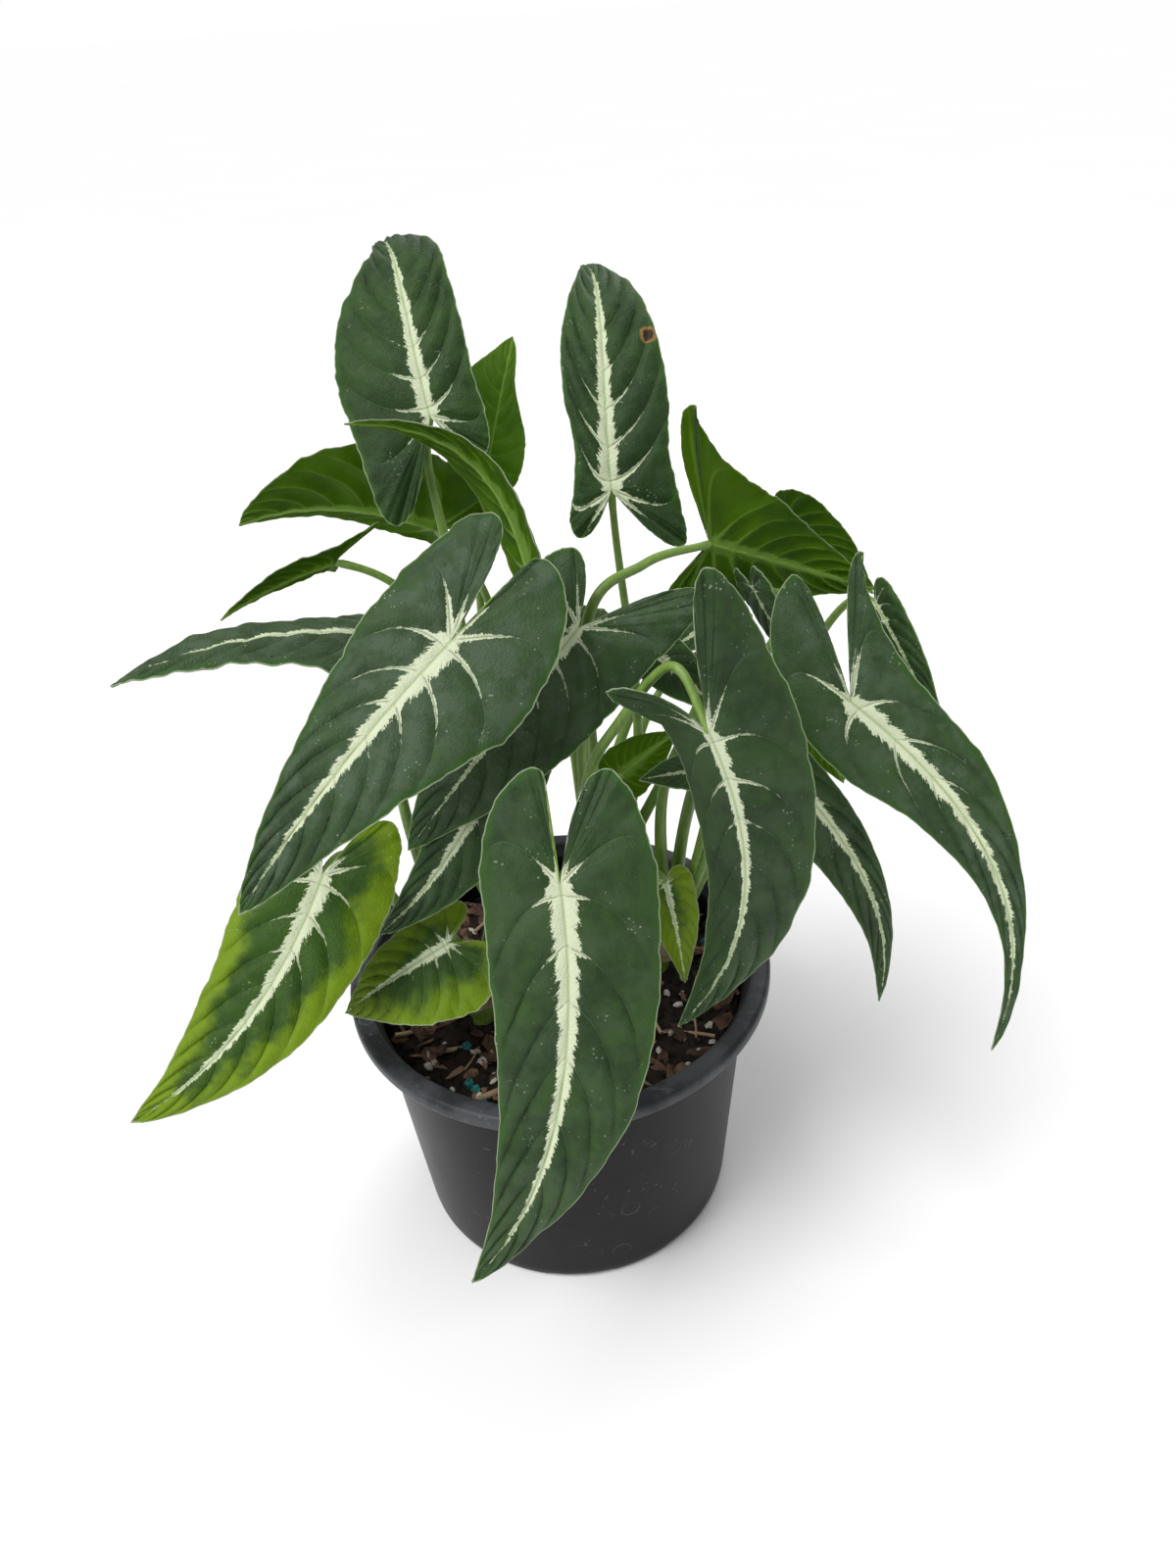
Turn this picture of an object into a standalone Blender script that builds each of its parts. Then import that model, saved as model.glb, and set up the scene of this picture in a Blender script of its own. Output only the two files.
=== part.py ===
"""Potted syngonium: arrowhead leaves on long stalks in a round nursery pot.

Lengths in the tables are millimetres, turned to metres where a mesh is made.
The pot's foot is at z = 0, its axis is Z, and the plant's front looks to -Y.
"""
import math

import bmesh
import bpy
import numpy as np

MM = 0.001
SEED = 7

# Pot
POT_HEIGHT = 90.0
RIM_RADIUS = 65.0
RIM_WIDTH = 6.0
RIM_DEPTH = 5.0
WALL = 1.4
WALL_TOP_RADIUS = 58.0
BASE_RADIUS = 51.0
FLOOR_RISE = 2.0
FOOT_WIDTH = 4.0
FOOT_COUNT = 8
FOOT_NOTCH_SHARE = 0.55
FOOT_NOTCH_DEPTH = 8.0
FOOT_NOTCH_HEIGHT = 1.3
PAD_RADIUS = 18.0
DRAIN_COUNT = 8
DRAIN_RADIUS = 4.5
DRAIN_RING = 34.0
POT_STEPS = 36

# Soil
SOIL_LEVEL = 77.0
SOIL_CROWN = 4.0
SOIL_RIPPLE = 0.7
SOIL_FOOT_HEIGHT = 6.0
GAP = 0.35
CHIP_COUNT = 38
CHIP_MARGIN = 9.0
CHIP_LENGTHS = (5, 12)
CHIP_WIDTHS = (2.4, 4.5)
CHIP_HEIGHTS = (2, 3.4)
CHIP_TILT = 0.3

# Stems and leaf stalks
STEM_RADIUS = 3.4
STEM_DEPTH = 16.0
STEM_TOP = 12.0
STEM_KNEE = 1.0
STEM_TAPER = (1.0, 1.0, 0.95, 0.6)
STALK_START = 9.0
STALK_ROOT_RADIUS = 1.9
STALK_TIP_RADIUS = 1.0
STALK_POINTS = 9
STALK_GAP = 0.45
STALK_SWING = 0.45
STALK_REACH = 0.35
STALK_ARRIVAL = (0.8, 0.5)

# Leaf blades
BLADE_THICKNESS = 0.7
BLADE_DROOP = 0.1
EDGE_WAVES = 3
EDGE_WAVE_SHIFT = 1.7
EDGE_WAVE_FADE = 3
SPLAY_ROWS = (3, 7)
BULGE_ROWS = 1.5

# Half of a flat blade, from the notch at the stalk round the back lobe to the
# tip: distance from the midrib in half widths, then distance along it, in lobe
# lengths behind the stalk and in blade lengths ahead of it, then the place on
# the midrib that the same row of the mesh starts from.
EDGE = [
    (0.06, -0.30, 0.0),
    (0.16, -0.65, 0.0),
    (0.33, -0.94, 0.0),
    (0.55, -1.00, 0.0),
    (0.80, -0.74, 0.0),
    (0.96, -0.24, 0.0),
    (1.00, 0.10, 0.05),
    (0.94, 0.26, 0.16),
    (0.81, 0.45, 0.32),
    (0.60, 0.64, 0.52),
    (0.34, 0.81, 0.72),
    (0.13, 0.94, 0.90),
    (0.00, 1.00, 1.00),
]
# Rows of the mesh, counted along the edge list, for large and for small blades.
FINE_ROWS = [0, 1, 2, 3, 4, 5, 6, 7, 8, 9, 10, 11, 12]
COARSE_ROWS = [0, 1.5, 3, 4.5, 6, 7.5, 9, 10.6, 12]


def stem(name, x, y, lean=(0.0, 0.0)):
    return {"name": name, "x": x, "y": y, "lean": lean}


STEMS = [
    stem("stem_front_left", -24, -14, (-3, -3)),
    stem("stem_front_right", 12, -20, (1, -3)),
    stem("stem_right", 31, 4, (3, 0)),
    stem("stem_back_left", -14, 14, (-2, 2)),
    stem("stem_back_right", 12, 24, (1, 3)),
]


def leaf(name, stem, base, tip, face, width, lobes, splay=(8, 8), fold=(0, 0), lift=(0, 0),
         taper=0.0, rise=(0.06, 0.06), sweep=(0, 0), wave=0.04, via=(), bulges=(),
         rows=FINE_ROWS, columns=3):
    """One leaf. Side a is clockwise from the midrib, for an eye above the blade.

    base and tip are the ends of the midrib and face is where the upper side looks.
    width and lobes are the half widths and back lobes of sides a and b. splay turns
    the lobes outward, fold turns each half up round the midrib, and lift adds to it
    at the lobe, all in degrees. taper is how much narrower the blade is two thirds
    along than the edge list has it. rise and sweep bow the midrib up and to side a,
    in blade lengths. wave is how far the edge ripples up and down, in half widths.
    bulges are places where one blade differs from the edge list: the side (0 for a,
    1 for b), the row, and how much wider the half is there, as a share.
    The stalk runs through the via points, or in one bow where there are none.
    """
    return locals()


def small_leaf(*parts, **values):
    return leaf(*parts, rows=COARSE_ROWS, columns=2, **values)


LEAVES = [
    leaf("leaf_front_centre", "stem_front_right", (5, -72, 176), (-25, -98, 72),
         (0.0, -0.83, 0.5), (18, 21.5), (26, 25), splay=(-5, 6), rise=(0.05, 0.08),
         sweep=(-0.12, -0.14), wave=0.05, via=[(17, -34, 160), (17, -50, 186)],
         bulges=[(0, 2, -0.6), (1, 10, -0.15)]),
    leaf("leaf_front_left", "stem_front_left", (-15, -42, 222), (-67, -70, 172),
         (-0.15, -0.8, 0.55), (19, 23), (29, 27), splay=(6, -8), taper=0.22,
         sweep=(0.02, 0.02), via=[(-34, -17, 140), (-36, -19, 164), (-33, -29, 186), (-26, -37, 206)],
         bulges=[(1, 2, -0.5), (0, 3.5, 0.15)]),
    leaf("leaf_centre_left", "stem_front_right", (13, -28, 216), (-35, -30, 157),
         (0.1, -0.8, 0.6), (17, 19), (16, 28), splay=(14, 18), via=[(11, -20, 150)]),
    leaf("leaf_left_low", "stem_front_left", (-57, -34, 154), (-111, -66, 103),
         (0.1, -0.75, 0.65), (19, 19), (18, 20), taper=0.05, sweep=(-0.12, -0.14)),
    small_leaf("leaf_inner_left", "stem_front_left", (-9, -27, 180), (-47, -31, 130),
               (0.1, -0.8, 0.6), (9, 13), (12, 12), sweep=(-0.06, -0.08)),
    leaf("leaf_left_long", "stem_back_left", (-33, -16, 212), (-94, -36, 214),
         (0, 0.1, 1.0), (18, 20), (16, 15), fold=(0, -8), taper=0.3, rise=(0.1, 0.1)),
    small_leaf("leaf_left_curled", "stem_back_left", (-48, 10, 221), (-73, -14, 218),
               (0.1, 0.9, 0.45), (6, 5), (6, 15), splay=(50, 30), fold=(20, 20),
               bulges=[(0, 10, 0.9)]),
    leaf("leaf_back_left", "stem_back_left", (-25, 43, 215), (-79, 41, 221),
         (-0.15, 0.9, 0.4), (12, 26), (16, 20), fold=(30, 5), rise=(0, 0),
         sweep=(-0.16, -0.18)),
    leaf("leaf_arched", "stem_front_left", (2, -2, 219), (-39, 6, 257),
         (0.25, 0.75, 0.6), (9, 9), (10, 10), rise=(0.32, 0.36)),
    leaf("leaf_top_left", "stem_back_left", (-21, 28, 251), (-35, 84, 283),
         (0, -0.9, 0.35), (14, 20), (15, 27), splay=(18, 14), rise=(0.2, 0.32),
         sweep=(0.03, 0.12), via=[(-17, 16, 150), (-20, 22, 212), (-23, 28, 238)],
         bulges=[(0, 10, 0.7), (1, 10, -0.35), (1, 7, 0.15)]),
    small_leaf("leaf_top_wavy", "stem_back_left", (-9, 55, 230), (0, 80, 257),
               (0.1, -0.8, 0.5), (10, 12), (9, 9), wave=0.12,
               bulges=[(0, 9, -0.5), (1, 9.5, 0.5)]),
    leaf("leaf_top_centre", "stem_back_right", (24, 20, 231), (22, 82, 274),
         (0, -0.9, 0.4), (17, 13), (22, 13), splay=(28, 14), taper=-0.1, rise=(0.2, 0.34),
         sweep=(0.0, 0.05), bulges=[(1, 6, -0.3)]),
    leaf("leaf_right_top", "stem_front_right", (47, 0, 223), (93, 14, 201),
         (0.1, 0.95, -0.1), (18, 16), (37, 18), splay=(40, 52), taper=0.3, rise=(0, 0),
         via=[(12, -18, 150), (15, -19, 212), (30, -8, 222)]),
    small_leaf("leaf_right_back", "stem_back_right", (73, 40, 211), (100, 40, 187),
               (0.1, 0.95, 0.2), (11, 8), (10, 10), via=[(24, 30, 150), (56, 35, 205)]),
    leaf("leaf_right_hanging", "stem_front_right", (40, -56, 202), (32, -54, 111),
         (0.1, -0.9, 0.35), (17, 20), (22, 35), splay=(25, 6), fold=(-60, -4),
         lift=(55, 0), sweep=(-0.16, -0.18),
         via=[(11, -24, 150), (13, -30, 176), (20, -39, 195), (33, -44, 213)]),
    leaf("leaf_right_outer", "stem_right", (78, -28, 191), (116, -56, 96),
         (-0.15, -0.8, 0.5), (14, 16), (33, 35), splay=(-38, 42), taper=0.45,
         sweep=(-0.18, -0.24), via=[(34, 0, 150), (50, -10, 184)],
         bulges=[(0, 10, -0.35), (1, 10, -0.35)]),
    leaf("leaf_right_inner", "stem_right", (63, -22, 169), (95, -22, 83),
         (-0.1, -0.85, 0.5), (12, 8), (12, 14), taper=0.25, sweep=(-0.12, -0.14)),
    small_leaf("leaf_right_flap", "stem_right", (91, 4, 201), (103, -28, 178),
               (-0.2, -0.7, 0.6), (7, 7), (6, 6), fold=(30, 40)),
    small_leaf("leaf_right_band", "stem_right", (57, -6, 213), (77, -10, 182),
               (-0.8, -0.2, 0.5), (7, 7), (6, 6), via=[(44, 6, 150), (66, -2, 202)]),
    small_leaf("leaf_right_low", "stem_right", (75, 10, 171), (85, 0, 148),
               (0.1, 0.85, -0.3), (10, 9), (6, 6), via=[(44, 12, 140), (62, 4, 168)]),
    small_leaf("leaf_inner_mid", "stem_back_right", (54, 18, 195), (37, 16, 185),
               (0, -0.7, 0.7), (7, 7), (6, 6), via=[(36, 22, 140), (55, 25, 184)]),
    small_leaf("leaf_inner_low", "stem_back_right", (31, -20, 204), (47, -26, 189),
               (0, -0.7, 0.7), (7, 7), (6, 6)),
    small_leaf("leaf_inner_pale", "stem_back_right", (22, 0, 156), (39, 10, 163),
               (0, 0.8, -0.3), (8, 8), (6, 6)),
    small_leaf("leaf_inner_dark", "stem_right", (44, -14, 165), (26, -21, 168),
               (0, -0.6, 0.8), (6, 6), (5, 5)),
    leaf("leaf_rim_left", "stem_front_left", (-28, -34, 128), (-58, -40, 111),
         (-0.1, -0.6, 0.8), (12, 19), (10, 14), via=[(-28, -16, 112)]),
    small_leaf("leaf_pot_small", "stem_right", (33, -10, 124), (37, -24, 98),
               (0.3, -0.8, 0.4), (8, 9), (5, 5), fold=(-50, 0)),
    small_leaf("leaf_back_centre", "stem_back_right", (6, 58, 176), (2, 92, 126),
               (0, 0.8, 0.6), (18, 18), (20, 21)),
    small_leaf("leaf_back_low_left", "stem_back_left", (-40, 54, 160), (-66, 78, 112),
               (-0.3, 0.7, 0.6), (16, 17), (19, 19)),
    small_leaf("leaf_back_low_right", "stem_back_right", (46, 58, 158), (70, 82, 112),
               (0.3, 0.7, 0.6), (17, 16), (19, 19)),
]


def material(name, colour, roughness):
    made = bpy.data.materials.new(name)
    made.use_nodes = True
    shader = made.node_tree.nodes["Principled BSDF"]
    shader.inputs["Base Color"].default_value = (*colour, 1.0)
    shader.inputs["Roughness"].default_value = roughness
    made.diffuse_color = (*colour, 1.0)
    return made


def collection(name):
    made = bpy.data.collections.new(name)
    bpy.context.scene.collection.children.link(made)
    return made


def add_mesh(name, vertices, faces, into):
    mesh = bpy.data.meshes.new(name)
    mesh.from_pydata([tuple(v) for v in vertices], [], [tuple(f) for f in faces])
    mesh.update()
    made = bpy.data.objects.new(name, mesh)
    into.objects.link(made)
    return made


def settle(item):
    """Replace an object's mesh by its evaluated one and drop its modifiers."""
    graph = bpy.context.evaluated_depsgraph_get()
    mesh = bpy.data.meshes.new_from_object(item.evaluated_get(graph))
    item.modifiers.clear()
    item.data = mesh
    return item


def turned(name, profile, steps, into):
    """A turned body from a profile of radius and height, outer side first."""
    points = [(r * MM, 0.0, z * MM) for r, z in profile]
    edges = [(i, i + 1) for i in range(len(points) - 1)]
    mesh = bpy.data.meshes.new(name)
    mesh.from_pydata(points, edges, [])
    made = bpy.data.objects.new(name, mesh)
    into.objects.link(made)
    screw = made.modifiers.new("turn", "SCREW")
    screw.axis = "Z"
    screw.steps = steps
    screw.render_steps = steps
    screw.use_merge_vertices = True
    screw.merge_threshold = 0.00001
    screw.use_normal_calculate = False
    return settle(made)


def cutter_cylinder(radius, depth, place, into, sides=16, turn=0.0):
    bpy.ops.mesh.primitive_cylinder_add(
        vertices=sides, radius=radius * MM, depth=depth * MM,
        location=[c * MM for c in place], rotation=(0, 0, turn))
    made = bpy.context.object
    move_to(made, into)
    return made


def cutter_box(size, place, into, turn=0.0):
    bpy.ops.mesh.primitive_cube_add(
        size=1.0, location=[c * MM for c in place], rotation=(0, 0, turn))
    made = bpy.context.object
    made.scale = [s * MM for s in size]
    move_to(made, into)
    return made


def move_to(item, into):
    for owner in list(item.users_collection):
        owner.objects.unlink(item)
    into.objects.link(item)
    item.hide_render = True
    item.display_type = "WIRE"


def combine(item, tools, operation):
    """Join or cut an object with everything in a collection, then drop the tools."""
    step = item.modifiers.new("combine", "BOOLEAN")
    step.operation = operation
    step.operand_type = "COLLECTION"
    step.collection = tools
    step.solver = "EXACT"
    settle(item)
    for tool in list(tools.objects):
        bpy.data.objects.remove(tool)
    bpy.data.collections.remove(tools)
    return item


def ring_places(count, radius, offset=0.0):
    for i in range(count):
        angle = offset + 2 * math.pi * i / count
        yield angle, radius * math.cos(angle), radius * math.sin(angle)


def make_pot(into):
    """The pot: a turned shell with a rolled rim, a notched foot and drain holes."""
    rim_in = RIM_RADIUS - RIM_WIDTH
    rim_low = POT_HEIGHT - RIM_DEPTH
    inner_floor = FLOOR_RISE + WALL
    profile = [
        (rim_in, POT_HEIGHT - 0.8),
        (rim_in + 1.0, POT_HEIGHT),
        (RIM_RADIUS - 1.6, POT_HEIGHT),
        (RIM_RADIUS - 0.3, POT_HEIGHT - 0.9),
        (RIM_RADIUS, POT_HEIGHT - 2.2),
        (RIM_RADIUS, rim_low + 0.6),
        (RIM_RADIUS - 0.8, rim_low),
        (RIM_RADIUS - 1.6, rim_low + 0.6),
        (RIM_RADIUS - 2.0, POT_HEIGHT - 2.6),
        (WALL_TOP_RADIUS + 0.9, POT_HEIGHT - 3.2),
        (WALL_TOP_RADIUS, rim_low - 1.5),
        (BASE_RADIUS + 0.3, 3.0),
        (BASE_RADIUS - 0.6, 0.8),
        (BASE_RADIUS - 1.8, 0.0),
        (BASE_RADIUS - FOOT_WIDTH, 0.0),
        (BASE_RADIUS - FOOT_WIDTH - 1.0, FLOOR_RISE),
        (PAD_RADIUS + 2.0, FLOOR_RISE),
        (PAD_RADIUS, 0.0),
        (0.0, 0.0),
    ]
    inside = [
        (0.0, inner_floor),
        (BASE_RADIUS - FOOT_WIDTH, inner_floor),
        (BASE_RADIUS - 1.4, inner_floor + 2.0),
        (WALL_TOP_RADIUS - WALL, rim_low - 1.5),
        (WALL_TOP_RADIUS - WALL + 0.9, POT_HEIGHT - 3.2),
        (rim_in, POT_HEIGHT - 0.8),
    ]
    pot = turned("pot", profile + inside, POT_STEPS, into)
    tools = collection("pot_cutters")
    half_step = math.pi / DRAIN_COUNT
    for angle, x, y in ring_places(DRAIN_COUNT, DRAIN_RING, half_step):
        cutter_cylinder(DRAIN_RADIUS, 4 * WALL, (x, y, inner_floor), tools, 12, angle)
    notch = 2 * math.pi * BASE_RADIUS / FOOT_COUNT * FOOT_NOTCH_SHARE
    for angle, x, y in ring_places(FOOT_COUNT, BASE_RADIUS - FOOT_WIDTH / 2, half_step):
        size = (FOOT_NOTCH_DEPTH, notch, 2 * FOOT_NOTCH_HEIGHT)
        cutter_box(size, (x, y, 0.0), tools, angle)
    combine(pot, tools, "DIFFERENCE")
    pot.data.materials.append(material("pot_plastic", (0.022, 0.023, 0.026), 0.42))
    return pot


def soil_height(x, y):
    """Height of the soil: a low mound with two crossed ripples."""
    mound = SOIL_CROWN * (1 - (x * x + y * y) / WALL_TOP_RADIUS ** 2)
    ripple = SOIL_RIPPLE * math.sin(x / 5.1 + 1.3 * math.sin(y / 7.3)) * math.cos(y / 4.7)
    return SOIL_LEVEL + mound + ripple


def make_soil(into):
    """The soil: it fills the pot, with bark chips on top and a hole for each stem."""
    rng = np.random.default_rng(SEED)
    floor = FLOOR_RISE + WALL + GAP
    slope = (WALL_TOP_RADIUS - BASE_RADIUS) / (POT_HEIGHT - RIM_DEPTH)
    low_radius = BASE_RADIUS - FOOT_WIDTH - GAP
    top_radius = BASE_RADIUS - WALL - 2 * GAP + slope * SOIL_LEVEL
    rings = np.linspace(top_radius, 0, 8)
    profile = [(r, SOIL_LEVEL) for r in rings[::-1]]
    foot_radius = BASE_RADIUS - WALL - 2 * GAP + slope * SOIL_FOOT_HEIGHT
    profile += [(foot_radius, SOIL_FOOT_HEIGHT), (low_radius, floor), (0.0, floor)]
    soil = turned("soil", profile, POT_STEPS, into)
    for vertex in soil.data.vertices:
        if vertex.co.z > (SOIL_LEVEL - 1) * MM:
            vertex.co.z = soil_height(vertex.co.x / MM, vertex.co.y / MM) * MM
    chips = collection("bark_chips")
    placed = 0
    while placed < CHIP_COUNT:
        r = (top_radius - CHIP_MARGIN) * math.sqrt(rng.uniform(0.02, 1))
        angle = rng.uniform(0, 2 * math.pi)
        x, y = r * math.cos(angle), r * math.sin(angle)
        size = [rng.uniform(*limits) for limits in (CHIP_LENGTHS, CHIP_WIDTHS, CHIP_HEIGHTS)]
        tilt = [*rng.uniform(-CHIP_TILT, CHIP_TILT, 2), rng.uniform(0, math.pi)]
        near = min(math.hypot(x - s["x"], y - s["y"]) for s in STEMS)
        if near < STEM_RADIUS + CHIP_MARGIN:
            continue
        bpy.ops.mesh.primitive_cube_add(
            size=1.0, location=(x * MM, y * MM, soil_height(x, y) * MM), rotation=tilt)
        chip = bpy.context.object
        chip.scale = [s * MM for s in size]
        move_to(chip, chips)
        placed += 1
    combine(soil, chips, "UNION")
    holes = collection("stem_holes")
    for s in STEMS:
        depth = 2 * (STEM_DEPTH + GAP)
        cutter_cylinder(STEM_RADIUS + GAP, depth, (s["x"], s["y"], soil_top(s)), holes, 12)
    combine(soil, holes, "DIFFERENCE")
    soil.data.materials.append(material("soil_mix", (0.05, 0.034, 0.026), 0.95))
    return soil


def soil_top(s):
    return soil_height(s["x"], s["y"])


def unit(v):
    return np.asarray(v, float) / np.linalg.norm(v)


def bezier(p, t):
    """Points on a cubic through its four control points, and its directions."""
    t = np.asarray(t, float)[..., None]
    a, b, c, d = [np.asarray(q, float) for q in p]
    point = (1 - t) ** 3 * a + 3 * (1 - t) ** 2 * t * b + 3 * (1 - t) * t ** 2 * c + t ** 3 * d
    slope = (1 - t) ** 2 * (b - a) + 2 * (1 - t) * t * (c - b) + t ** 2 * (d - c)
    return point, slope / np.linalg.norm(slope, axis=-1, keepdims=True)


def leaf_frame(spec):
    """The midrib's control points, with the blade's length, side and up directions."""
    base, tip = np.array(spec["base"], float), np.array(spec["tip"], float)
    chord = tip - base
    length = np.linalg.norm(chord)
    along = chord / length
    side = unit(np.cross(along, spec["face"]))
    up = np.cross(side, along)
    bows = [base]
    for place, rise, sweep in zip((1 / 3, 2 / 3), spec["rise"], spec["sweep"]):
        bows.append(base + chord * place + (up * rise + side * sweep) * length)
    bows.append(tip)
    return bows, length, side


def midrib(spec, v):
    """Points, directions, side and up vectors along the midrib at places v."""
    bows, _, side = leaf_frame(spec)
    ahead = np.clip(v, 0, 1)
    point, along = bezier(bows, ahead)
    up = np.cross(np.broadcast_to(side, along.shape), along)
    up /= np.linalg.norm(up, axis=-1, keepdims=True)
    return point, along, np.cross(along, up), up


def smooth(x, values):
    """Catmull-Rom curve through values at whole-number places x."""
    last = len(values) - 1
    i = np.minimum(np.floor(x).astype(int), last - 1)
    f = x - i
    ends = [2 * values[0] - values[1]], [2 * values[-1] - values[-2]]
    padded = np.concatenate([ends[0], values, ends[1]])
    a, b, c, d = padded[i], padded[i + 1], padded[i + 2], padded[i + 3]
    return b + 0.5 * f * (c - a + f * (2 * a - 5 * b + 4 * c - d + f * (3 * (b - c) + d - a)))


def blade_points(spec, row, t, sign):
    """Where the blade passes: row counts along the edge list, t from midrib to edge.

    Each half is a ruled sheet between the midrib and the edge. Behind the stalk it
    is turned outward by the splay. Then it is turned up round the midrib by the
    fold, drooped toward the edge, and waved there.
    """
    half = 0 if sign > 0 else 1
    length = leaf_frame(spec)[1]
    width, lobe = spec["width"][half], spec["lobes"][half]
    edge = np.array(EDGE)
    u = smooth(row, edge[:, 0]) * width
    v = smooth(row, np.where(edge[:, 1] < 0, edge[:, 1] * lobe, edge[:, 1] * length))
    start = np.maximum(smooth(row, edge[:, 2]), 0) * length
    ahead = np.clip(v / length, 0, 1)
    late = ahead ** 2 * (1 - ahead) * 27 / 4
    u = u * (1 - spec["taper"] * late)
    for side, place, share in spec["bulges"]:
        if side == half:
            u = u * (1 + share * np.exp(-((row - place) / BULGE_ROWS) ** 2))
    fade = (SPLAY_ROWS[1] - row) / (SPLAY_ROWS[1] - SPLAY_ROWS[0])
    turn = np.radians(spec["splay"][half]) * np.clip(fade, 0, 1)
    u, v = u * np.cos(turn) - v * np.sin(turn), u * np.sin(turn) + v * np.cos(turn)
    u, v = u * t, start + t * (v - start)
    point, along, across, up = midrib(spec, v / length)
    behind = np.clip(-v, 0, None)
    fold = np.radians(spec["fold"][half] + spec["lift"][half] * np.minimum(behind / lobe, 1))
    high = u * np.sin(fold) - BLADE_DROOP * u ** 2 / width
    last = len(EDGE) - 1
    ripple = np.sin(2 * math.pi * EDGE_WAVES * row / last + EDGE_WAVE_SHIFT * half)
    ends = np.clip(np.minimum(row, last - row) / EDGE_WAVE_FADE, 0, 1)
    high += spec["wave"] * width * ripple * t ** 2 * ends
    point = point - along * behind[..., None] + up * high[..., None]
    return point + across * (sign * u * np.cos(fold))[..., None]


def make_blade(spec, into):
    """One blade: two ruled halves that share the midrib, given a wall."""
    rows = np.array(spec["rows"], float)
    steps = np.linspace(0, 1, spec["columns"] + 1)
    vertices = []
    index = {}
    faces = []

    def vertex(point):
        key = tuple(np.round(point, 3))
        if key not in index:
            index[key] = len(vertices)
            vertices.append([c * MM for c in point])
        return index[key]

    for sign in (1, -1):
        row, t = np.meshgrid(rows, steps, indexing="ij")
        points = blade_points(spec, row, t, sign)
        grid = [[vertex(point) for point in line] for line in points]
        for low, high in zip(grid[:-1], grid[1:]):
            for j in range(spec["columns"]):
                a, b, c, d = low[j], low[j + 1], high[j + 1], high[j]
                for corner in ((a, b, c), (a, c, d)):
                    if len(set(corner)) == 3:
                        faces.append(corner if sign > 0 else corner[::-1])
    blade = add_mesh(spec["name"], vertices, faces, into)
    wall = blade.modifiers.new("wall", "SOLIDIFY")
    wall.thickness = BLADE_THICKNESS * MM
    wall.offset = 0.0
    wall.use_even_offset = False
    blade.data.materials.append(material(spec["name"] + "_green", (0.035, 0.10, 0.03), 0.5))
    return blade


def tube(name, points, radii, into):
    """A tube along a list of points, as a closed mesh."""
    curve = bpy.data.curves.new(name, "CURVE")
    curve.dimensions = "3D"
    curve.bevel_depth = MM
    curve.bevel_resolution = 1
    curve.use_fill_caps = True
    spline = curve.splines.new("POLY")
    spline.points.add(len(points) - 1)
    for slot, point, radius in zip(spline.points, points, radii):
        slot.co = (*[c * MM for c in point], 1.0)
        slot.radius = radius
    guide = bpy.data.objects.new(name + "_guide", curve)
    into.objects.link(guide)
    graph = bpy.context.evaluated_depsgraph_get()
    mesh = bpy.data.meshes.new_from_object(guide.evaluated_get(graph))
    bpy.data.objects.remove(guide)
    made = bpy.data.objects.new(name, mesh)
    into.objects.link(made)
    weld = bmesh.new()
    weld.from_mesh(made.data)
    bmesh.ops.remove_doubles(weld, verts=weld.verts, dist=0.00001)
    bmesh.ops.recalc_face_normals(weld, faces=weld.faces)
    weld.to_mesh(made.data)
    weld.free()
    return made


def stalk_points(spec, s):
    """A stalk from its stem's crown to just under the blade, midway between its halves."""
    point, along, across, up = [a[0] for a in midrib(spec, np.zeros(1))]
    below = math.radians((spec["fold"][0] - spec["fold"][1]) / 2 - 90)
    down = across * math.cos(below) + up * math.sin(below)
    last = unit(along * STALK_ARRIVAL[0] + up * STALK_ARRIVAL[1])
    if spec["via"]:
        last = unit(point - spec["via"][-1])
    reach = STALK_TIP_RADIUS * np.linalg.norm(np.cross(last, down))
    open_half = math.radians(min(90, 90 + (spec["fold"][0] + spec["fold"][1]) / 2))
    end = point + down * (BLADE_THICKNESS / 2 + STALK_GAP + reach) / math.sin(open_half)
    crown = np.array([s["x"] + s["lean"][0], s["y"] + s["lean"][1], soil_top(s) + STALK_START])
    if spec["via"]:
        path = np.array([crown, *spec["via"], end], float)
        place = np.linspace(0, len(path) - 1, STALK_POINTS + 2)
        return np.stack([smooth(place, path[:, k]) for k in range(3)], axis=1)
    span = np.linalg.norm(end - crown)
    outward = unit((end[0] - crown[0], end[1] - crown[1], 1e-6))
    first = unit(outward * STALK_SWING + np.array([0, 0, 1.0]))
    bows = [crown, crown + first * span / 2, end - last * span * STALK_REACH, end]
    return bezier(bows, np.linspace(0, 1, STALK_POINTS))[0]


def make_stem(s, into):
    """A short stem with the stalks of its leaves, joined in one body."""
    top = soil_top(s)
    base = np.array([s["x"], s["y"], top - STEM_DEPTH])
    crown = np.array([s["x"] + s["lean"][0], s["y"] + s["lean"][1], top + STEM_TOP])
    knee = np.array([s["x"], s["y"], top + STEM_KNEE])
    radii = [STEM_RADIUS * share for share in STEM_TAPER]
    body = tube(s["name"], [base, knee, (knee + crown) / 2, crown], radii, into)
    stalks = collection("stalks_of_" + s["name"])
    for spec in LEAVES:
        if spec["stem"] != s["name"]:
            continue
        points = stalk_points(spec, s)
        radii = np.linspace(STALK_ROOT_RADIUS, STALK_TIP_RADIUS, len(points))
        tube(spec["name"] + "_stalk", points, radii, stalks)
    combine(body, stalks, "UNION")
    body.data.materials.append(material(s["name"] + "_green", (0.16, 0.28, 0.07), 0.45))
    return body


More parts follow.
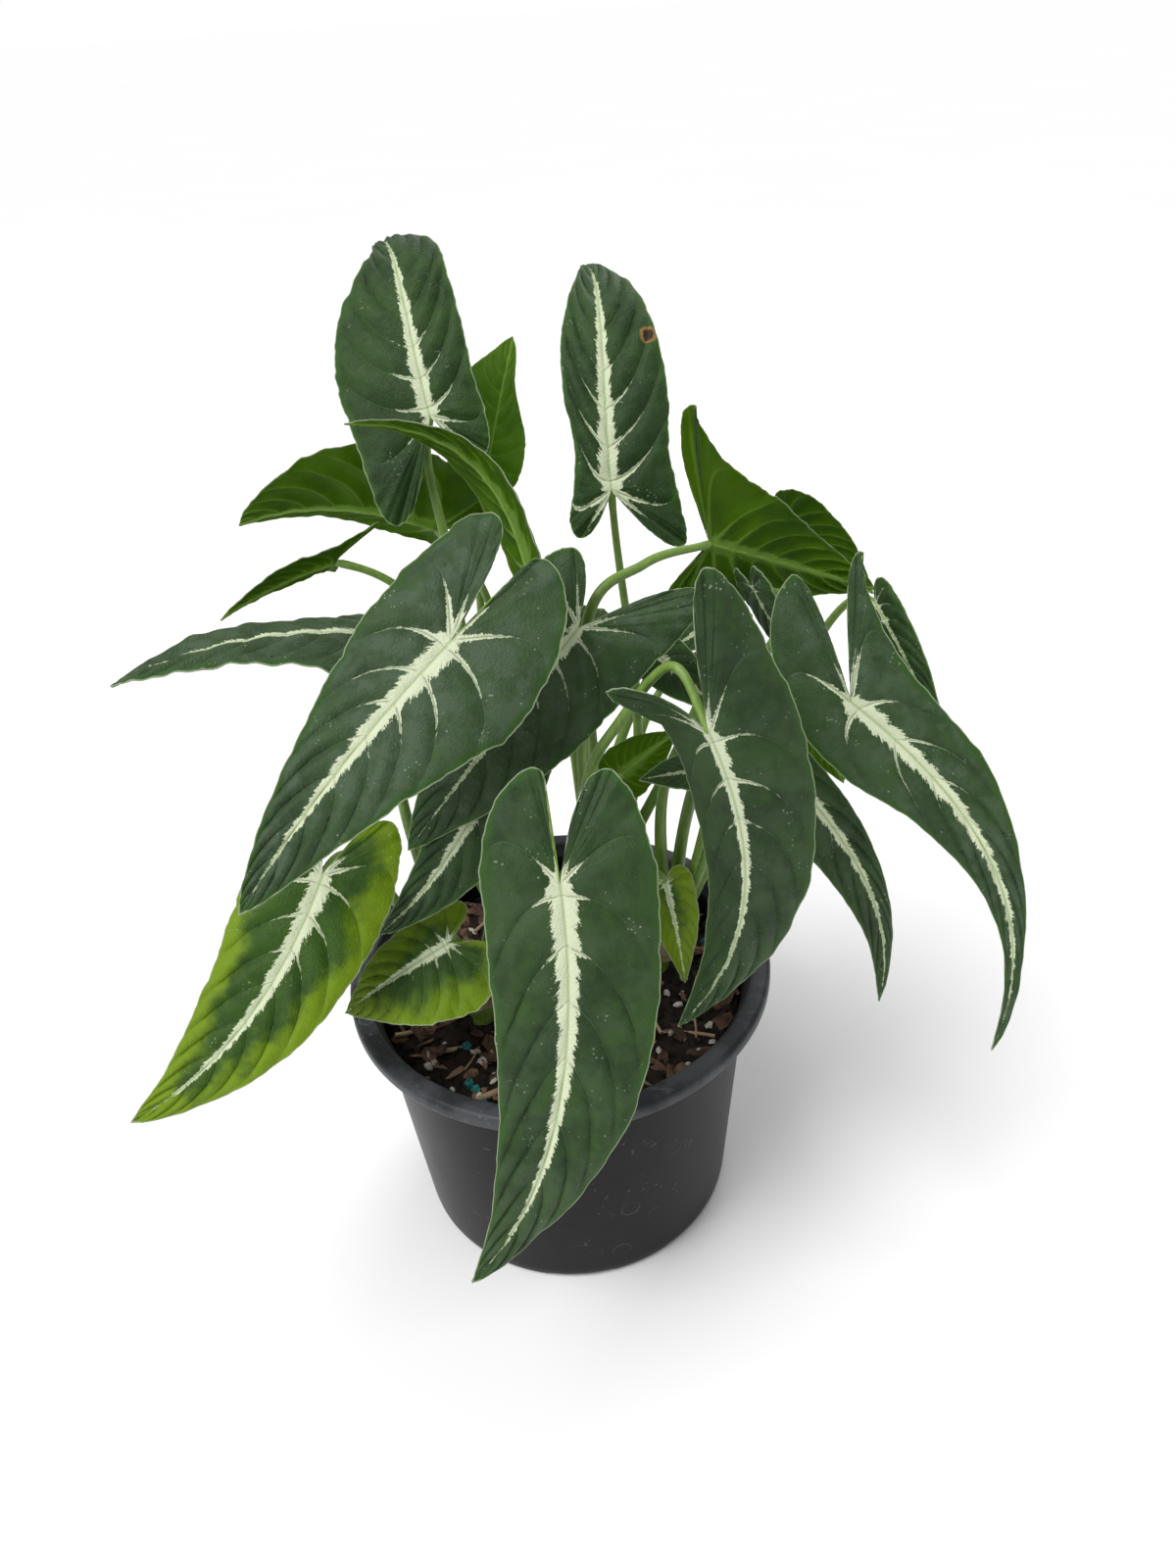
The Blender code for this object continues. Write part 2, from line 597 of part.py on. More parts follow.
def main():
    for item in list(bpy.data.objects):
        bpy.data.objects.remove(item)
    into = collection("potted_syngonium")
    pot = make_pot(into)
    soil = make_soil(into)
    for body in (pot, soil):
        body.data.shade_smooth()
        body.data.set_sharp_from_angle(angle=math.radians(35))
    for s in STEMS:
        make_stem(s, into)
    for spec in LEAVES:
        make_blade(spec, into)


main()
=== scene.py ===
"""The looks of the potted syngonium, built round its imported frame.

Lengths in the tables are millimetres, turned to metres where a mesh is made.
The pot's foot is at z = 0, its axis is Z, and the plant's front looks to -Y.
"""
import math

import bpy
import numpy as np
from mathutils import Matrix, Vector


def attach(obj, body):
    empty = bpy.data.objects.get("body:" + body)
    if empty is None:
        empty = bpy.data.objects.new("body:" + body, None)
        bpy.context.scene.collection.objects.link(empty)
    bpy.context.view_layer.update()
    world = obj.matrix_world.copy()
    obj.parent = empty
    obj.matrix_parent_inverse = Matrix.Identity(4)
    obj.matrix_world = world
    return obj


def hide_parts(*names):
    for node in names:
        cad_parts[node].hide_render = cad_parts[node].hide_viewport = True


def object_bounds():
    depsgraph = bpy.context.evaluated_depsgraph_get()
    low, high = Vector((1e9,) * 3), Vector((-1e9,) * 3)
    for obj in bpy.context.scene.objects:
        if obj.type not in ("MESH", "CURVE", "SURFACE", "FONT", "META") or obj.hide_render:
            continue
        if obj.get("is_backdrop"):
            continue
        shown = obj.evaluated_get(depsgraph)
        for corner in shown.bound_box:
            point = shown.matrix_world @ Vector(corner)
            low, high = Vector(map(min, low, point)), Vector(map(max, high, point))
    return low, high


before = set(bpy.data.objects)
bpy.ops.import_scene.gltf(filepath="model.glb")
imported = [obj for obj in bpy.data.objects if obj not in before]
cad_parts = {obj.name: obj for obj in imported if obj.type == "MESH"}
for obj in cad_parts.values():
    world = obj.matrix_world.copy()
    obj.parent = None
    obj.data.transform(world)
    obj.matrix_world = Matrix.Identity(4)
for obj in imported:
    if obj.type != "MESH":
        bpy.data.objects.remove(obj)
cad_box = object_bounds()

MM = 0.001

# Pot and soil
POT_HEIGHT = 90.0
RIM_RADIUS = 65.0
RIM_WIDTH = 6.0
RIM_DEPTH = 5.0
WALL = 1.4
WALL_TOP_RADIUS = 58.0
BASE_RADIUS = 51.0
FLOOR_RISE = 2.0
FOOT_WIDTH = 4.0
FOOT_COUNT = 8
FOOT_NOTCH_SHARE = 0.55
FOOT_NOTCH_HEIGHT = 1.3
PAD_RADIUS = 18.0
DRAIN_COUNT = 8
DRAIN_RADIUS = 4.5
DRAIN_RING = 34.0
SOIL_LEVEL = 77.0
SOIL_CROWN = 4.0
SOIL_RIPPLE = 0.7
GAP = 0.35

# Stems and leaf stalks
STEM_RADIUS = 3.4
STEM_DEPTH = 16.0
STEM_TOP = 12.0
STALK_START = 9.0
STALK_ROOT_RADIUS = 1.9
STALK_TIP_RADIUS = 1.0
STALK_SWING = 0.45
STALK_REACH = 0.35
STALK_ARRIVAL = (0.8, 0.5)

# Leaf blades
BLADE_DROOP = 0.1
SPLAY_ROWS = (3, 7)
BULGE_ROWS = 1.5
EDGE_WAVES = 3
EDGE_WAVE_SHIFT = 1.7
EDGE_WAVE_FADE = 3
PALE_VEINS = [(2, 0.42, 9), (3, 0.4, 12), (4, 0.36, 13), (5, 0.3, 12), (6, 0.26, 8), (7, 0.2, 5)]
VEIN_ROWS = [-1.2, 0.9, 2.6, 4.2, 5.6, 6.7, 7.5, 8.2, 8.9, 9.6, 10.3, 11.0, 11.6, 12.4]

# Half of a flat blade, from the notch at the stalk round the back lobe to the
# tip: distance from the midrib in half widths, then distance along it, in lobe
# lengths behind the stalk and in blade lengths ahead of it, then the place on
# the midrib that the same row starts from.
EDGE = np.array([
    (0.06, -0.30, 0.0),
    (0.16, -0.65, 0.0),
    (0.33, -0.94, 0.0),
    (0.55, -1.00, 0.0),
    (0.80, -0.74, 0.0),
    (0.96, -0.24, 0.0),
    (1.00, 0.10, 0.05),
    (0.94, 0.26, 0.16),
    (0.81, 0.45, 0.32),
    (0.60, 0.64, 0.52),
    (0.34, 0.81, 0.72),
    (0.13, 0.94, 0.90),
    (0.00, 1.00, 1.00),
])
LAST_ROW = len(EDGE) - 1


def stem(name, x, y, lean):
    return {"name": name, "x": x, "y": y, "lean": lean}


STEMS = [
    stem("stem_front_left", -24, -14, (-3, -3)),
    stem("stem_front_right", 12, -20, (1, -3)),
    stem("stem_right", 31, 4, (3, 0)),
    stem("stem_back_left", -14, 14, (-2, 2)),
    stem("stem_back_right", 12, 24, (1, 3)),
]


def leaf(name, stem, base, tip, face, width, lobes, splay=(8, 8), fold=(0, 0), lift=(0, 0),
         taper=0.0, rise=(0.06, 0.06), sweep=(0, 0), wave=0.04, via=(), bulges=(),
         look="dark", tone=0.3, silver=2.2, spread=1.0, spots=()):
    """One leaf. Side a is clockwise from the midrib, for an eye above the blade.

    base and tip are the ends of the midrib and face is where the upper side looks.
    width and lobes are the half widths and back lobes of sides a and b. splay turns
    the lobes outward, fold turns each half up round the midrib, and lift adds to it
    at the lobe, all in degrees. taper is how much narrower the blade is two thirds
    along. rise and sweep bow the midrib up and to side a, in blade lengths, and wave
    is the edge's ripple in half widths. The stalk runs through the via points.
    bulges are places where one blade differs from the edge list: the side (0 for a,
    1 for b), the row, and how much wider the half is there, as a share.
    look names the blade's finish, tone is how much painted sky sheen lightens its
    upper side to a greyer green, silver is the half width of its pale stripe at the
    stalk, spread is how far pale veins reach, and spots are brown marks: distance
    from the midrib (side a positive), distance along it, radius.
    """
    return locals()


# Each blade's tone is how much painted sky sheen lightens its upper side, set blade by blade from how the light falls
# on it.
LEAVES = [
    leaf("leaf_front_centre", "stem_front_right", (5, -72, 176), (-25, -98, 72),
         (0.0, -0.83, 0.5), (18, 21.5), (26, 25), splay=(-5, 6), rise=(0.05, 0.08),
         sweep=(-0.12, -0.14), wave=0.05, via=[(17, -34, 160), (17, -50, 186)],
         bulges=[(0, 2, -0.6), (1, 10, -0.15)], tone=0.35, silver=3.0, spread=0.75),
    leaf("leaf_front_left", "stem_front_left", (-15, -42, 222), (-67, -70, 172),
         (-0.15, -0.8, 0.55), (19, 23), (29, 27), splay=(6, -8), taper=0.22,
         sweep=(0.02, 0.02), via=[(-34, -17, 140), (-36, -19, 164), (-33, -29, 186), (-26, -37, 206)],
         bulges=[(1, 2, -0.5), (0, 3.5, 0.15)], tone=1.0, silver=2.9, spread=1.4),
    leaf("leaf_centre_left", "stem_front_right", (13, -28, 216), (-35, -30, 157),
         (0.1, -0.8, 0.6), (17, 19), (16, 28), splay=(14, 18), via=[(11, -20, 150)],
         tone=0.8, silver=1.6, spread=1.4),
    leaf("leaf_left_low", "stem_front_left", (-57, -34, 154), (-111, -66, 103),
         (0.1, -0.75, 0.65), (19, 19), (18, 20), taper=0.05, sweep=(-0.12, -0.14),
         look="fresh", silver=2.8),
    leaf("leaf_inner_left", "stem_front_left", (-9, -27, 180), (-47, -31, 130),
         (0.1, -0.8, 0.6), (9, 13), (12, 12), sweep=(-0.06, -0.08)),
    leaf("leaf_left_long", "stem_back_left", (-33, -16, 212), (-94, -36, 214),
         (0, 0.1, 1.0), (18, 20), (16, 15), fold=(0, -8), taper=0.3, rise=(0.1, 0.1),
         tone=0.8, silver=1.8, spread=0.7),
    leaf("leaf_left_curled", "stem_back_left", (-48, 10, 221), (-73, -14, 218),
         (0.1, 0.9, 0.45), (6, 5), (6, 15), splay=(50, 30), fold=(20, 20),
         bulges=[(0, 10, 0.9)], silver=0.6),
    leaf("leaf_back_left", "stem_back_left", (-25, 43, 215), (-79, 41, 221),
         (-0.15, 0.9, 0.4), (12, 26), (16, 20), fold=(30, 5), rise=(0, 0),
         sweep=(-0.16, -0.18)),
    leaf("leaf_arched", "stem_front_left", (2, -2, 219), (-39, 6, 257),
         (0.25, 0.75, 0.6), (9, 9), (10, 10), rise=(0.32, 0.36)),
    leaf("leaf_top_left", "stem_back_left", (-21, 28, 251), (-35, 84, 283),
         (0, -0.9, 0.35), (14, 20), (15, 27), splay=(18, 14), rise=(0.2, 0.32),
         sweep=(0.03, 0.12), via=[(-17, 16, 150), (-20, 22, 212), (-23, 28, 238)],
         bulges=[(0, 10, 0.7), (1, 10, -0.35), (1, 7, 0.15)], tone=0.1, silver=2.2),
    # leaf_top_wavy's upper side takes the lit finish: a lighter yellow green painted for a blade with light coming
    # through it.
    leaf("leaf_top_wavy", "stem_back_left", (-9, 55, 230), (0, 80, 257),
         (0.1, -0.8, 0.5), (10, 12), (9, 9), wave=0.12, look="lit", silver=0.0,
         bulges=[(0, 9, -0.5), (1, 9.5, 0.5)]),
    leaf("leaf_top_centre", "stem_back_right", (24, 20, 231), (22, 82, 274),
         (0, -0.9, 0.4), (17, 13), (22, 13), splay=(28, 14), taper=-0.1, rise=(0.2, 0.34),
         sweep=(0.0, 0.05), bulges=[(1, 6, -0.3)], tone=0.2, silver=2.5, spread=1.4,
         spots=[(12, 36, 1.6)]),
    leaf("leaf_right_top", "stem_front_right", (47, 0, 223), (93, 14, 201),
         (0.1, 0.95, -0.1), (18, 16), (37, 18), splay=(40, 52), taper=0.3, rise=(0, 0),
         via=[(12, -18, 150), (15, -19, 212), (30, -8, 222)]),
    leaf("leaf_right_back", "stem_back_right", (73, 40, 211), (100, 40, 187),
         (0.1, 0.95, 0.2), (11, 8), (10, 10), via=[(24, 30, 150), (56, 35, 205)]),
    leaf("leaf_right_hanging", "stem_front_right", (40, -56, 202), (32, -54, 111),
         (0.1, -0.9, 0.35), (17, 20), (22, 35), splay=(25, 6), fold=(-60, -4),
         lift=(55, 0), sweep=(-0.16, -0.18),
         via=[(11, -24, 150), (13, -30, 176), (20, -39, 195), (33, -44, 213)],
         silver=1.9, spread=1.2),
    leaf("leaf_right_outer", "stem_right", (78, -28, 191), (116, -56, 96),
         (-0.15, -0.8, 0.5), (14, 16), (33, 35), splay=(-38, 42), taper=0.45,
         sweep=(-0.18, -0.24), via=[(34, 0, 150), (50, -10, 184)],
         bulges=[(0, 10, -0.35), (1, 10, -0.35)], tone=0.8, silver=2.4, spread=1.3),
    leaf("leaf_right_inner", "stem_right", (63, -22, 169), (95, -22, 83),
         (-0.1, -0.85, 0.5), (12, 8), (12, 14), taper=0.25, sweep=(-0.12, -0.14),
         silver=1.7),
    leaf("leaf_right_flap", "stem_right", (91, 4, 201), (103, -28, 178),
         (-0.2, -0.7, 0.6), (7, 7), (6, 6), fold=(30, 40), silver=0.8),
    leaf("leaf_right_band", "stem_right", (57, -6, 213), (77, -10, 182),
         (-0.8, -0.2, 0.5), (7, 7), (6, 6), via=[(44, 6, 150), (66, -2, 202)], silver=0.5),
    leaf("leaf_right_low", "stem_right", (75, 10, 171), (85, 0, 148),
         (0.1, 0.85, -0.3), (10, 9), (6, 6), via=[(44, 12, 140), (62, 4, 168)]),
    leaf("leaf_inner_mid", "stem_back_right", (54, 18, 195), (37, 16, 185),
         (0, -0.7, 0.7), (7, 7), (6, 6), via=[(36, 22, 140), (55, 25, 184)], silver=1.4),
    leaf("leaf_inner_low", "stem_back_right", (31, -20, 204), (47, -26, 189),
         (0, -0.7, 0.7), (7, 7), (6, 6), silver=1.2),
    leaf("leaf_inner_pale", "stem_back_right", (22, 0, 156), (39, 10, 163),
         (0, 0.8, -0.3), (8, 8), (6, 6)),
    leaf("leaf_inner_dark", "stem_right", (44, -14, 165), (26, -21, 168),
         (0, -0.6, 0.8), (6, 6), (5, 5), silver=1.0),
    leaf("leaf_rim_left", "stem_front_left", (-28, -34, 128), (-58, -40, 111),
         (-0.1, -0.6, 0.8), (12, 19), (10, 14), via=[(-28, -16, 112)], look="fresh",
         silver=1.8),
    leaf("leaf_pot_small", "stem_right", (33, -10, 124), (37, -24, 98),
         (0.3, -0.8, 0.4), (8, 9), (5, 5), fold=(-50, 0), look="fresh", silver=1.0),
    leaf("leaf_back_centre", "stem_back_right", (6, 58, 176), (2, 92, 126),
         (0, 0.8, 0.6), (18, 18), (20, 21)),
    leaf("leaf_back_low_left", "stem_back_left", (-40, 54, 160), (-66, 78, 112),
         (-0.3, 0.7, 0.6), (16, 17), (19, 19)),
    leaf("leaf_back_low_right", "stem_back_right", (46, 58, 158), (70, 82, 112),
         (0.3, 0.7, 0.6), (17, 16), (19, 19)),
]


# Meshes from arrays

def piece(name, points, faces, materials, slots=None, values=None, flat=None, sharp=50):
    """An object from points in millimetres and triangles, with values kept per point."""
    mesh = bpy.data.meshes.new(name)
    mesh.vertices.add(len(points))
    mesh.vertices.foreach_set("co", (np.asarray(points) * MM).astype(np.float32).ravel())
    mesh.loops.add(faces.size)
    mesh.loops.foreach_set("vertex_index", faces.astype(np.int32).ravel())
    mesh.polygons.add(len(faces))
    mesh.polygons.foreach_set("loop_start", np.arange(0, faces.size, 3, dtype=np.int32))
    for made in materials:
        mesh.materials.append(made)
    if slots is not None:
        mesh.polygons.foreach_set("material_index", slots.astype(np.int32))
    mesh.update(calc_edges=True)
    for key, value in (values or {}).items():
        layer = mesh.attributes.new(key, "FLOAT", "POINT")
        layer.data.foreach_set("value", np.asarray(value, np.float32))
    if flat is not None:
        layer = mesh.uv_layers.new(name="flat")
        layer.data.foreach_set("uv", flat[faces.ravel()].astype(np.float32).ravel())
    mesh.shade_smooth()
    mesh.set_sharp_from_angle(angle=math.radians(sharp))
    made = bpy.data.objects.new(name, mesh)
    bpy.context.scene.collection.objects.link(made)
    return made


def triangles(rows, columns, closed=False):
    """Two triangles for each cell of a grid of points, counted row by row."""
    across = columns if closed else columns - 1
    i, j = np.meshgrid(np.arange(rows - 1), np.arange(across), indexing="ij")
    k = (j + 1) % columns
    a, b, c, d = i * columns + j, i * columns + k, (i + 1) * columns + k, (i + 1) * columns + j
    return np.stack([np.stack([a, b, c], -1), np.stack([a, c, d], -1)], 2).reshape(-1, 3)


def weld(points, faces, places=4):
    """Points that round to the same place made one, and faces that collapse dropped."""
    _, first, back = np.unique(np.round(points, places), axis=0, return_index=True,
                               return_inverse=True)
    faces = back.reshape(-1)[faces]
    good = (faces[:, 0] != faces[:, 1]) & (faces[:, 1] != faces[:, 2]) & (faces[:, 0] != faces[:, 2])
    return first, faces[good], good


def normals(points, faces):
    """Unit normals at the points, each face weighing by its area."""
    a, b, c = points[faces[:, 0]], points[faces[:, 1]], points[faces[:, 2]]
    face = np.cross(b - a, c - a)
    total = np.zeros_like(points)
    for k in range(3):
        np.add.at(total, faces[:, k], face)
    return total / np.maximum(np.linalg.norm(total, axis=1, keepdims=True), 1e-12)


def unit(v):
    v = np.asarray(v, float)
    return v / np.maximum(np.linalg.norm(v, axis=-1, keepdims=True), 1e-12)


def smooth(x, values):
    """Catmull-Rom curve through values at whole-number places x."""
    values = np.asarray(values, float)
    last = len(values) - 1
    i = np.clip(np.floor(x).astype(int), 0, last - 1)
    f = x - i
    if values.ndim > 1:
        f = f[..., None]
    ends = [2 * values[0] - values[1]], [2 * values[-1] - values[-2]]
    padded = np.concatenate([ends[0], values, ends[1]])
    a, b, c, d = padded[i], padded[i + 1], padded[i + 2], padded[i + 3]
    return b + 0.5 * f * (c - a + f * (2 * a - 5 * b + 4 * c - d + f * (3 * (b - c) + d - a)))


def ramp(x, low, high):
    """0 below low, 1 above high, with a soft bend at both ends."""
    share = np.clip((x - low) / (high - low), 0, 1)
    return share * share * (3 - 2 * share)


def bezier(p, t):
    """Points on a cubic through its four control points, and its directions."""
    t = np.asarray(t, float)[..., None]
    a, b, c, d = [np.asarray(q, float) for q in p]
    point = (1 - t) ** 3 * a + 3 * (1 - t) ** 2 * t * b + 3 * (1 - t) * t ** 2 * c + t ** 3 * d
    return point, unit((1 - t) ** 2 * (b - a) + 2 * (1 - t) * t * (c - b) + t ** 2 * (d - c))


# Leaf blades

def leaf_frame(spec):
    """The midrib's control points, with the blade's length and side direction."""
    base, tip = np.array(spec["base"], float), np.array(spec["tip"], float)
    chord = tip - base
    length = np.linalg.norm(chord)
    side = unit(np.cross(chord, spec["face"]))
    up = np.cross(side, chord / length)
    bows = [base]
    for place, rise, sweep in zip((1 / 3, 2 / 3), spec["rise"], spec["sweep"]):
        bows.append(base + chord * place + (up * rise + side * sweep) * length)
    return bows + [tip], length, side


def midrib(spec, ahead):
    """Points, directions, side and up vectors along the midrib."""
    bows, _, side = leaf_frame(spec)
    point, along = bezier(bows, np.clip(ahead, 0, 1))
    up = unit(np.cross(np.broadcast_to(side, along.shape), along))
    return point, along, np.cross(along, up), up


def flat_half(spec, half, row, t, rng):
    """One half of the flat blade: distance from the midrib and distance along it.

    Each row is a straight line from its place on the midrib to the edge. The edge
    curve runs through the edge list, is scaled to the half's width and lobe, made
    narrower by the taper, nicked by small waves, and turned out by the splay.
    """
    length = leaf_frame(spec)[1]
    width, lobe = spec["width"][half], spec["lobes"][half]
    u = smooth(row, EDGE[:, 0]) * width
    v = smooth(row, np.where(EDGE[:, 1] < 0, EDGE[:, 1] * lobe, EDGE[:, 1] * length))
    start = np.maximum(smooth(row, EDGE[:, 2]), 0) * length
    ahead = np.clip(v / length, 0, 1)
    u = u * (1 - spec["taper"] * ahead ** 2 * (1 - ahead) * 27 / 4)
    for side, place, share in spec["bulges"]:
        if side == half:
            u = u * (1 + share * np.exp(-((row - place) / BULGE_ROWS) ** 2))
    nicks = 0
    for turns, size in ((5, 0.5), (9, 0.4), (17, 0.35), (31, 0.3), (53, 0.2)):
        nicks = nicks + size * np.sin(2 * math.pi * (turns * row / LAST_ROW + rng.uniform()))
    ends = ramp(np.minimum(row, LAST_ROW - row), 0, 1.5)
    u = u * (1 + 0.018 * nicks * ends)
    fade = np.clip((SPLAY_ROWS[1] - row) / (SPLAY_ROWS[1] - SPLAY_ROWS[0]), 0, 1)
    turn = np.radians(spec["splay"][half]) * fade
    u, v = u * np.cos(turn) - v * np.sin(turn), u * np.sin(turn) + v * np.cos(turn)
    return u * t, start + t * (v - start), start


def veins(u, v, row, t, start):
    """Where the side veins pass: which vein is nearest, and how far apart they are.

    Side veins follow the rows and bend toward the tip as they near the edge. The
    first value counts them along the midrib, and the second is their spacing in
    millimetres, from how far the flat points move per row, square to the row.
    """
    bent = row - 1.1 * t ** 2.2 * ramp(row, 3, 6)
    count = np.interp(bent, VEIN_ROWS, np.arange(len(VEIN_ROWS)))
    du, dv = np.gradient(u, axis=0), np.gradient(v, axis=0)
    line = unit(np.stack([u[:, -1:], v[:, -1:] - start[:, -1:]], -1))
    step = np.abs(du * line[..., 1] - dv * line[..., 0])
    per_row = np.maximum(np.gradient(count, axis=0), 1e-6)
    return count, step / per_row


def pale_reach(spec, u, v, t, count, gap, reach):
    """How deep a point lies inside the pale stripe or a pale vein, and how ragged it is.

    The stripe narrows in a straight line from the stalk to near the tip. The lobe's
    vein and the first side veins carry thinner stripes that narrow and run out. Both
    values are millimetres, and the second one grows with the stripe's width.
    """
    length = leaf_frame(spec)[1]
    wide = spec["silver"]
    ahead = np.clip(v / length, 0, 1.2)
    stripe = wide * (1.02 - ahead / 0.94)
    depth = np.where(v > 0, stripe - u, wide * 0.7 - np.hypot(u, v))
    fray = 0.25 + 0.5 * np.clip(stripe, 0, 3)
    run = np.hypot(u, v)
    for vein, thick, far in PALE_VEINS:
        far = far * spec["spread"] * min(1.0, length / 70)
        passed = run if vein < 5 else reach * t
        wedge = wide * thick * (1 - passed / far)
        branch = np.where(passed < far, wedge - np.abs(count - vein) * gap, -9)
        fray = np.where(branch > depth, 0.15 + 0.5 * np.clip(wedge, 0, 1), fray)
        depth = np.maximum(depth, branch)
    return depth, fray


def make_blade(spec, seed, finishes):
    """A closed thin blade: upper and lower skins joined round the edge.

    The middle surface is the flat blade laid along the bowed midrib, turned up by
    the fold, drooped and rippled toward the edge, and swollen between its veins.
    The skins lie half a thickness to each side of it, and the lower one carries
    the raised midrib and side veins.
    """
    rng = np.random.default_rng(seed)
    size = leaf_frame(spec)[1] + max(spec["lobes"])
    rows = int(np.clip(size * (1.7), 40, 190))
    columns = int(np.clip(max(spec["width"]) * (1.25), 8, 30))
    grid, faces, keep = [], [], []
    phase = rng.uniform(0, 2 * math.pi, 8)
    for half, sign in ((0, 1), (1, -1)):
        row, t = np.meshgrid(np.linspace(0, LAST_ROW, rows), np.linspace(0, 1, columns), indexing="ij")
        u, v, start = flat_half(spec, half, row, t, np.random.default_rng(seed * 2 + half))
        count, gap = veins(u, v, row, t, start)
        width, lobe = spec["width"][half], spec["lobes"][half]
        length = leaf_frame(spec)[1]
        reach = np.hypot(u[:, -1:], v[:, -1:] - start[:, -1:])
        depth, fray = pale_reach(spec, u, v, t, count, gap, reach)
        near = np.abs(count - np.round(count)) * gap
        body = np.sin(math.pi * np.clip(t, 0, 1)) ** 0.6 * np.minimum(1, gap / 5)
        swell = (0.95 * (1 - np.exp(-(near / 2.2) ** 2)) - 0.3 * np.exp(-(near / 0.45) ** 2)) * body
        slow = sum(np.sin(u * sign / w + v / h + p) for w, h, p in
                   ((7, 12, phase[0]), (-9, 8, phase[1]), (5, -16, phase[2]))) * 0.42 * t
        point, along, across, up = midrib(spec, v / length)
        behind = np.clip(-v, 0, None)
        fold = np.radians(spec["fold"][half] + spec["lift"][half] * np.minimum(behind / lobe, 1))
        high = u * np.sin(fold) - BLADE_DROOP * u ** 2 / width
        ripple = np.sin(2 * math.pi * EDGE_WAVES * row / LAST_ROW + EDGE_WAVE_SHIFT * half)
        ends = np.clip(np.minimum(row, LAST_ROW - row) / EDGE_WAVE_FADE, 0, 1)
        high = high + spec["wave"] * width * ripple * t ** 2 * ends
        crinkle = 0.6 * np.sin(row * 5.3 + phase[3 + half]) + 0.4 * np.sin(row * 11.9 + phase[5 + half])
        high = high + crinkle * 0.035 * width * t ** 4 * ends + swell + slow * min(1, width / 18)
        high = high - 0.3 * np.exp(-(u / 0.8) ** 2) * ramp(v, -1, 3)
        point = point - along * behind[..., None] + up * high[..., None]
        point = point + across * (sign * u * np.cos(fold))[..., None]
        rib = 0.75 * np.exp(-(u / 0.75) ** 2) * (1.05 - np.clip(v / length, 0, 1)) * ramp(v, -0.6, 1.5)
        low_vein = 0.22 * np.exp(-(near / 0.45) ** 2) * body * (1 - t)
        thick = 0.21 - 0.08 * t ** 3
        values = np.stack([sign * u, v, t, count, gap, depth, fray, reach * (1 - t),
                           rib + low_vein, thick], -1)
        made = triangles(rows, columns)
        faces.append((made if sign > 0 else made[:, ::-1]) + len(keep) * rows * columns)
        keep.append(values.reshape(-1, values.shape[-1]))
        grid.append(point.reshape(-1, 3))
    points, values, faces = np.concatenate(grid), np.concatenate(keep), np.concatenate(faces)
    rim = [np.arange(columns), np.arange(1, rows) * columns + columns - 1]
    rim = np.concatenate(rim)
    loop = np.concatenate([rim, (rim + rows * columns)[::-1]])
    first, faces, _ = weld(points, faces)
    _, back = np.unique(np.round(points, 4), axis=0, return_inverse=True)
    loop = back.reshape(-1)[loop]
    loop = loop[np.concatenate([[True], loop[1:] != loop[:-1]])]
    if loop[0] == loop[-1]:
        loop = loop[:-1]
    points, values = points[first], values[first]
    facing = normals(points, faces)
    top = points + facing * values[:, -1:]
    under = points - facing * (values[:, -1:] + values[:, -2:-1])
    total = len(points)
    after = np.roll(loop, -1)
    edge = np.concatenate([np.stack([loop, after, after + total], -1),
                           np.stack([loop, after + total, loop + total], -1)])
    every = np.concatenate([faces, faces[:, ::-1] + total, edge])
    tops = set_of_edges(faces)
    if (int(loop[0]), int(loop[1])) in tops:
        every[2 * len(faces):] = every[2 * len(faces):, ::-1]
    slots = np.repeat([0, 1, 0], [len(faces), len(faces), len(edge)])
    kept = np.concatenate([values, values])
    names = ("across", "along", "out", "vein", "gap", "pale", "fray", "inside")
    carried = {key: kept[:, k] for k, key in enumerate(names)}
    marks = np.full(len(kept), 9.0)
    for far, ahead, radius in spec["spots"]:
        marks = np.minimum(marks, np.hypot(kept[:, 0] - far, kept[:, 1] - ahead) - radius)
    carried["mark"] = marks
    # tone: the share of painted sky sheen on this blade's upper side.
    carried["tone"] = np.full(len(kept), spec["tone"])
    return piece(spec["name"] + "_blade", np.concatenate([top, under]), every, finishes,
                 slots, carried, kept[:, :2] / 100, sharp=70)


def set_of_edges(faces):
    """The directed edges of some faces, as pairs of numbers."""
    pairs = np.concatenate([faces[:, [0, 1]], faces[:, [1, 2]], faces[:, [2, 0]]])
    return set(map(tuple, pairs.tolist()))


# Stems and stalks

def soil_height(x, y):
    """Height of the soil: a low mound with two crossed ripples."""
    mound = SOIL_CROWN * (1 - (x * x + y * y) / WALL_TOP_RADIUS ** 2)
    ripple = SOIL_RIPPLE * np.sin(x / 5.1 + 1.3 * np.sin(y / 7.3)) * np.cos(y / 4.7)
    return SOIL_LEVEL + mound + ripple


def stalk_path(spec, s, steps):
    """A stalk's points from its stem's crown to the blade's lower side."""
    point, along, across, up = [a[0] for a in midrib(spec, np.zeros(1))]
    below = math.radians((spec["fold"][0] - spec["fold"][1]) / 2 - 90)
    down = across * math.cos(below) + up * math.sin(below)
    last = unit(along * STALK_ARRIVAL[0] + up * STALK_ARRIVAL[1])
    end = point + down * 0.55
    top = soil_height(s["x"], s["y"])
    crown = np.array([s["x"] + s["lean"][0], s["y"] + s["lean"][1], top + STALK_START])
    if spec["via"]:
        path = np.array([crown, *spec["via"], end], float)
        return smooth(np.linspace(0, len(path) - 1, steps), path)
    span = np.linalg.norm(end - crown)
    outward = unit((end[0] - crown[0], end[1] - crown[1], 1e-6))
    first = unit(outward * STALK_SWING + np.array([0, 0, 1.0]))
    bows = [crown, crown + first * span / 2, end - last * span * STALK_REACH, end]
    return bezier(bows, np.linspace(0, 1, steps))[0]


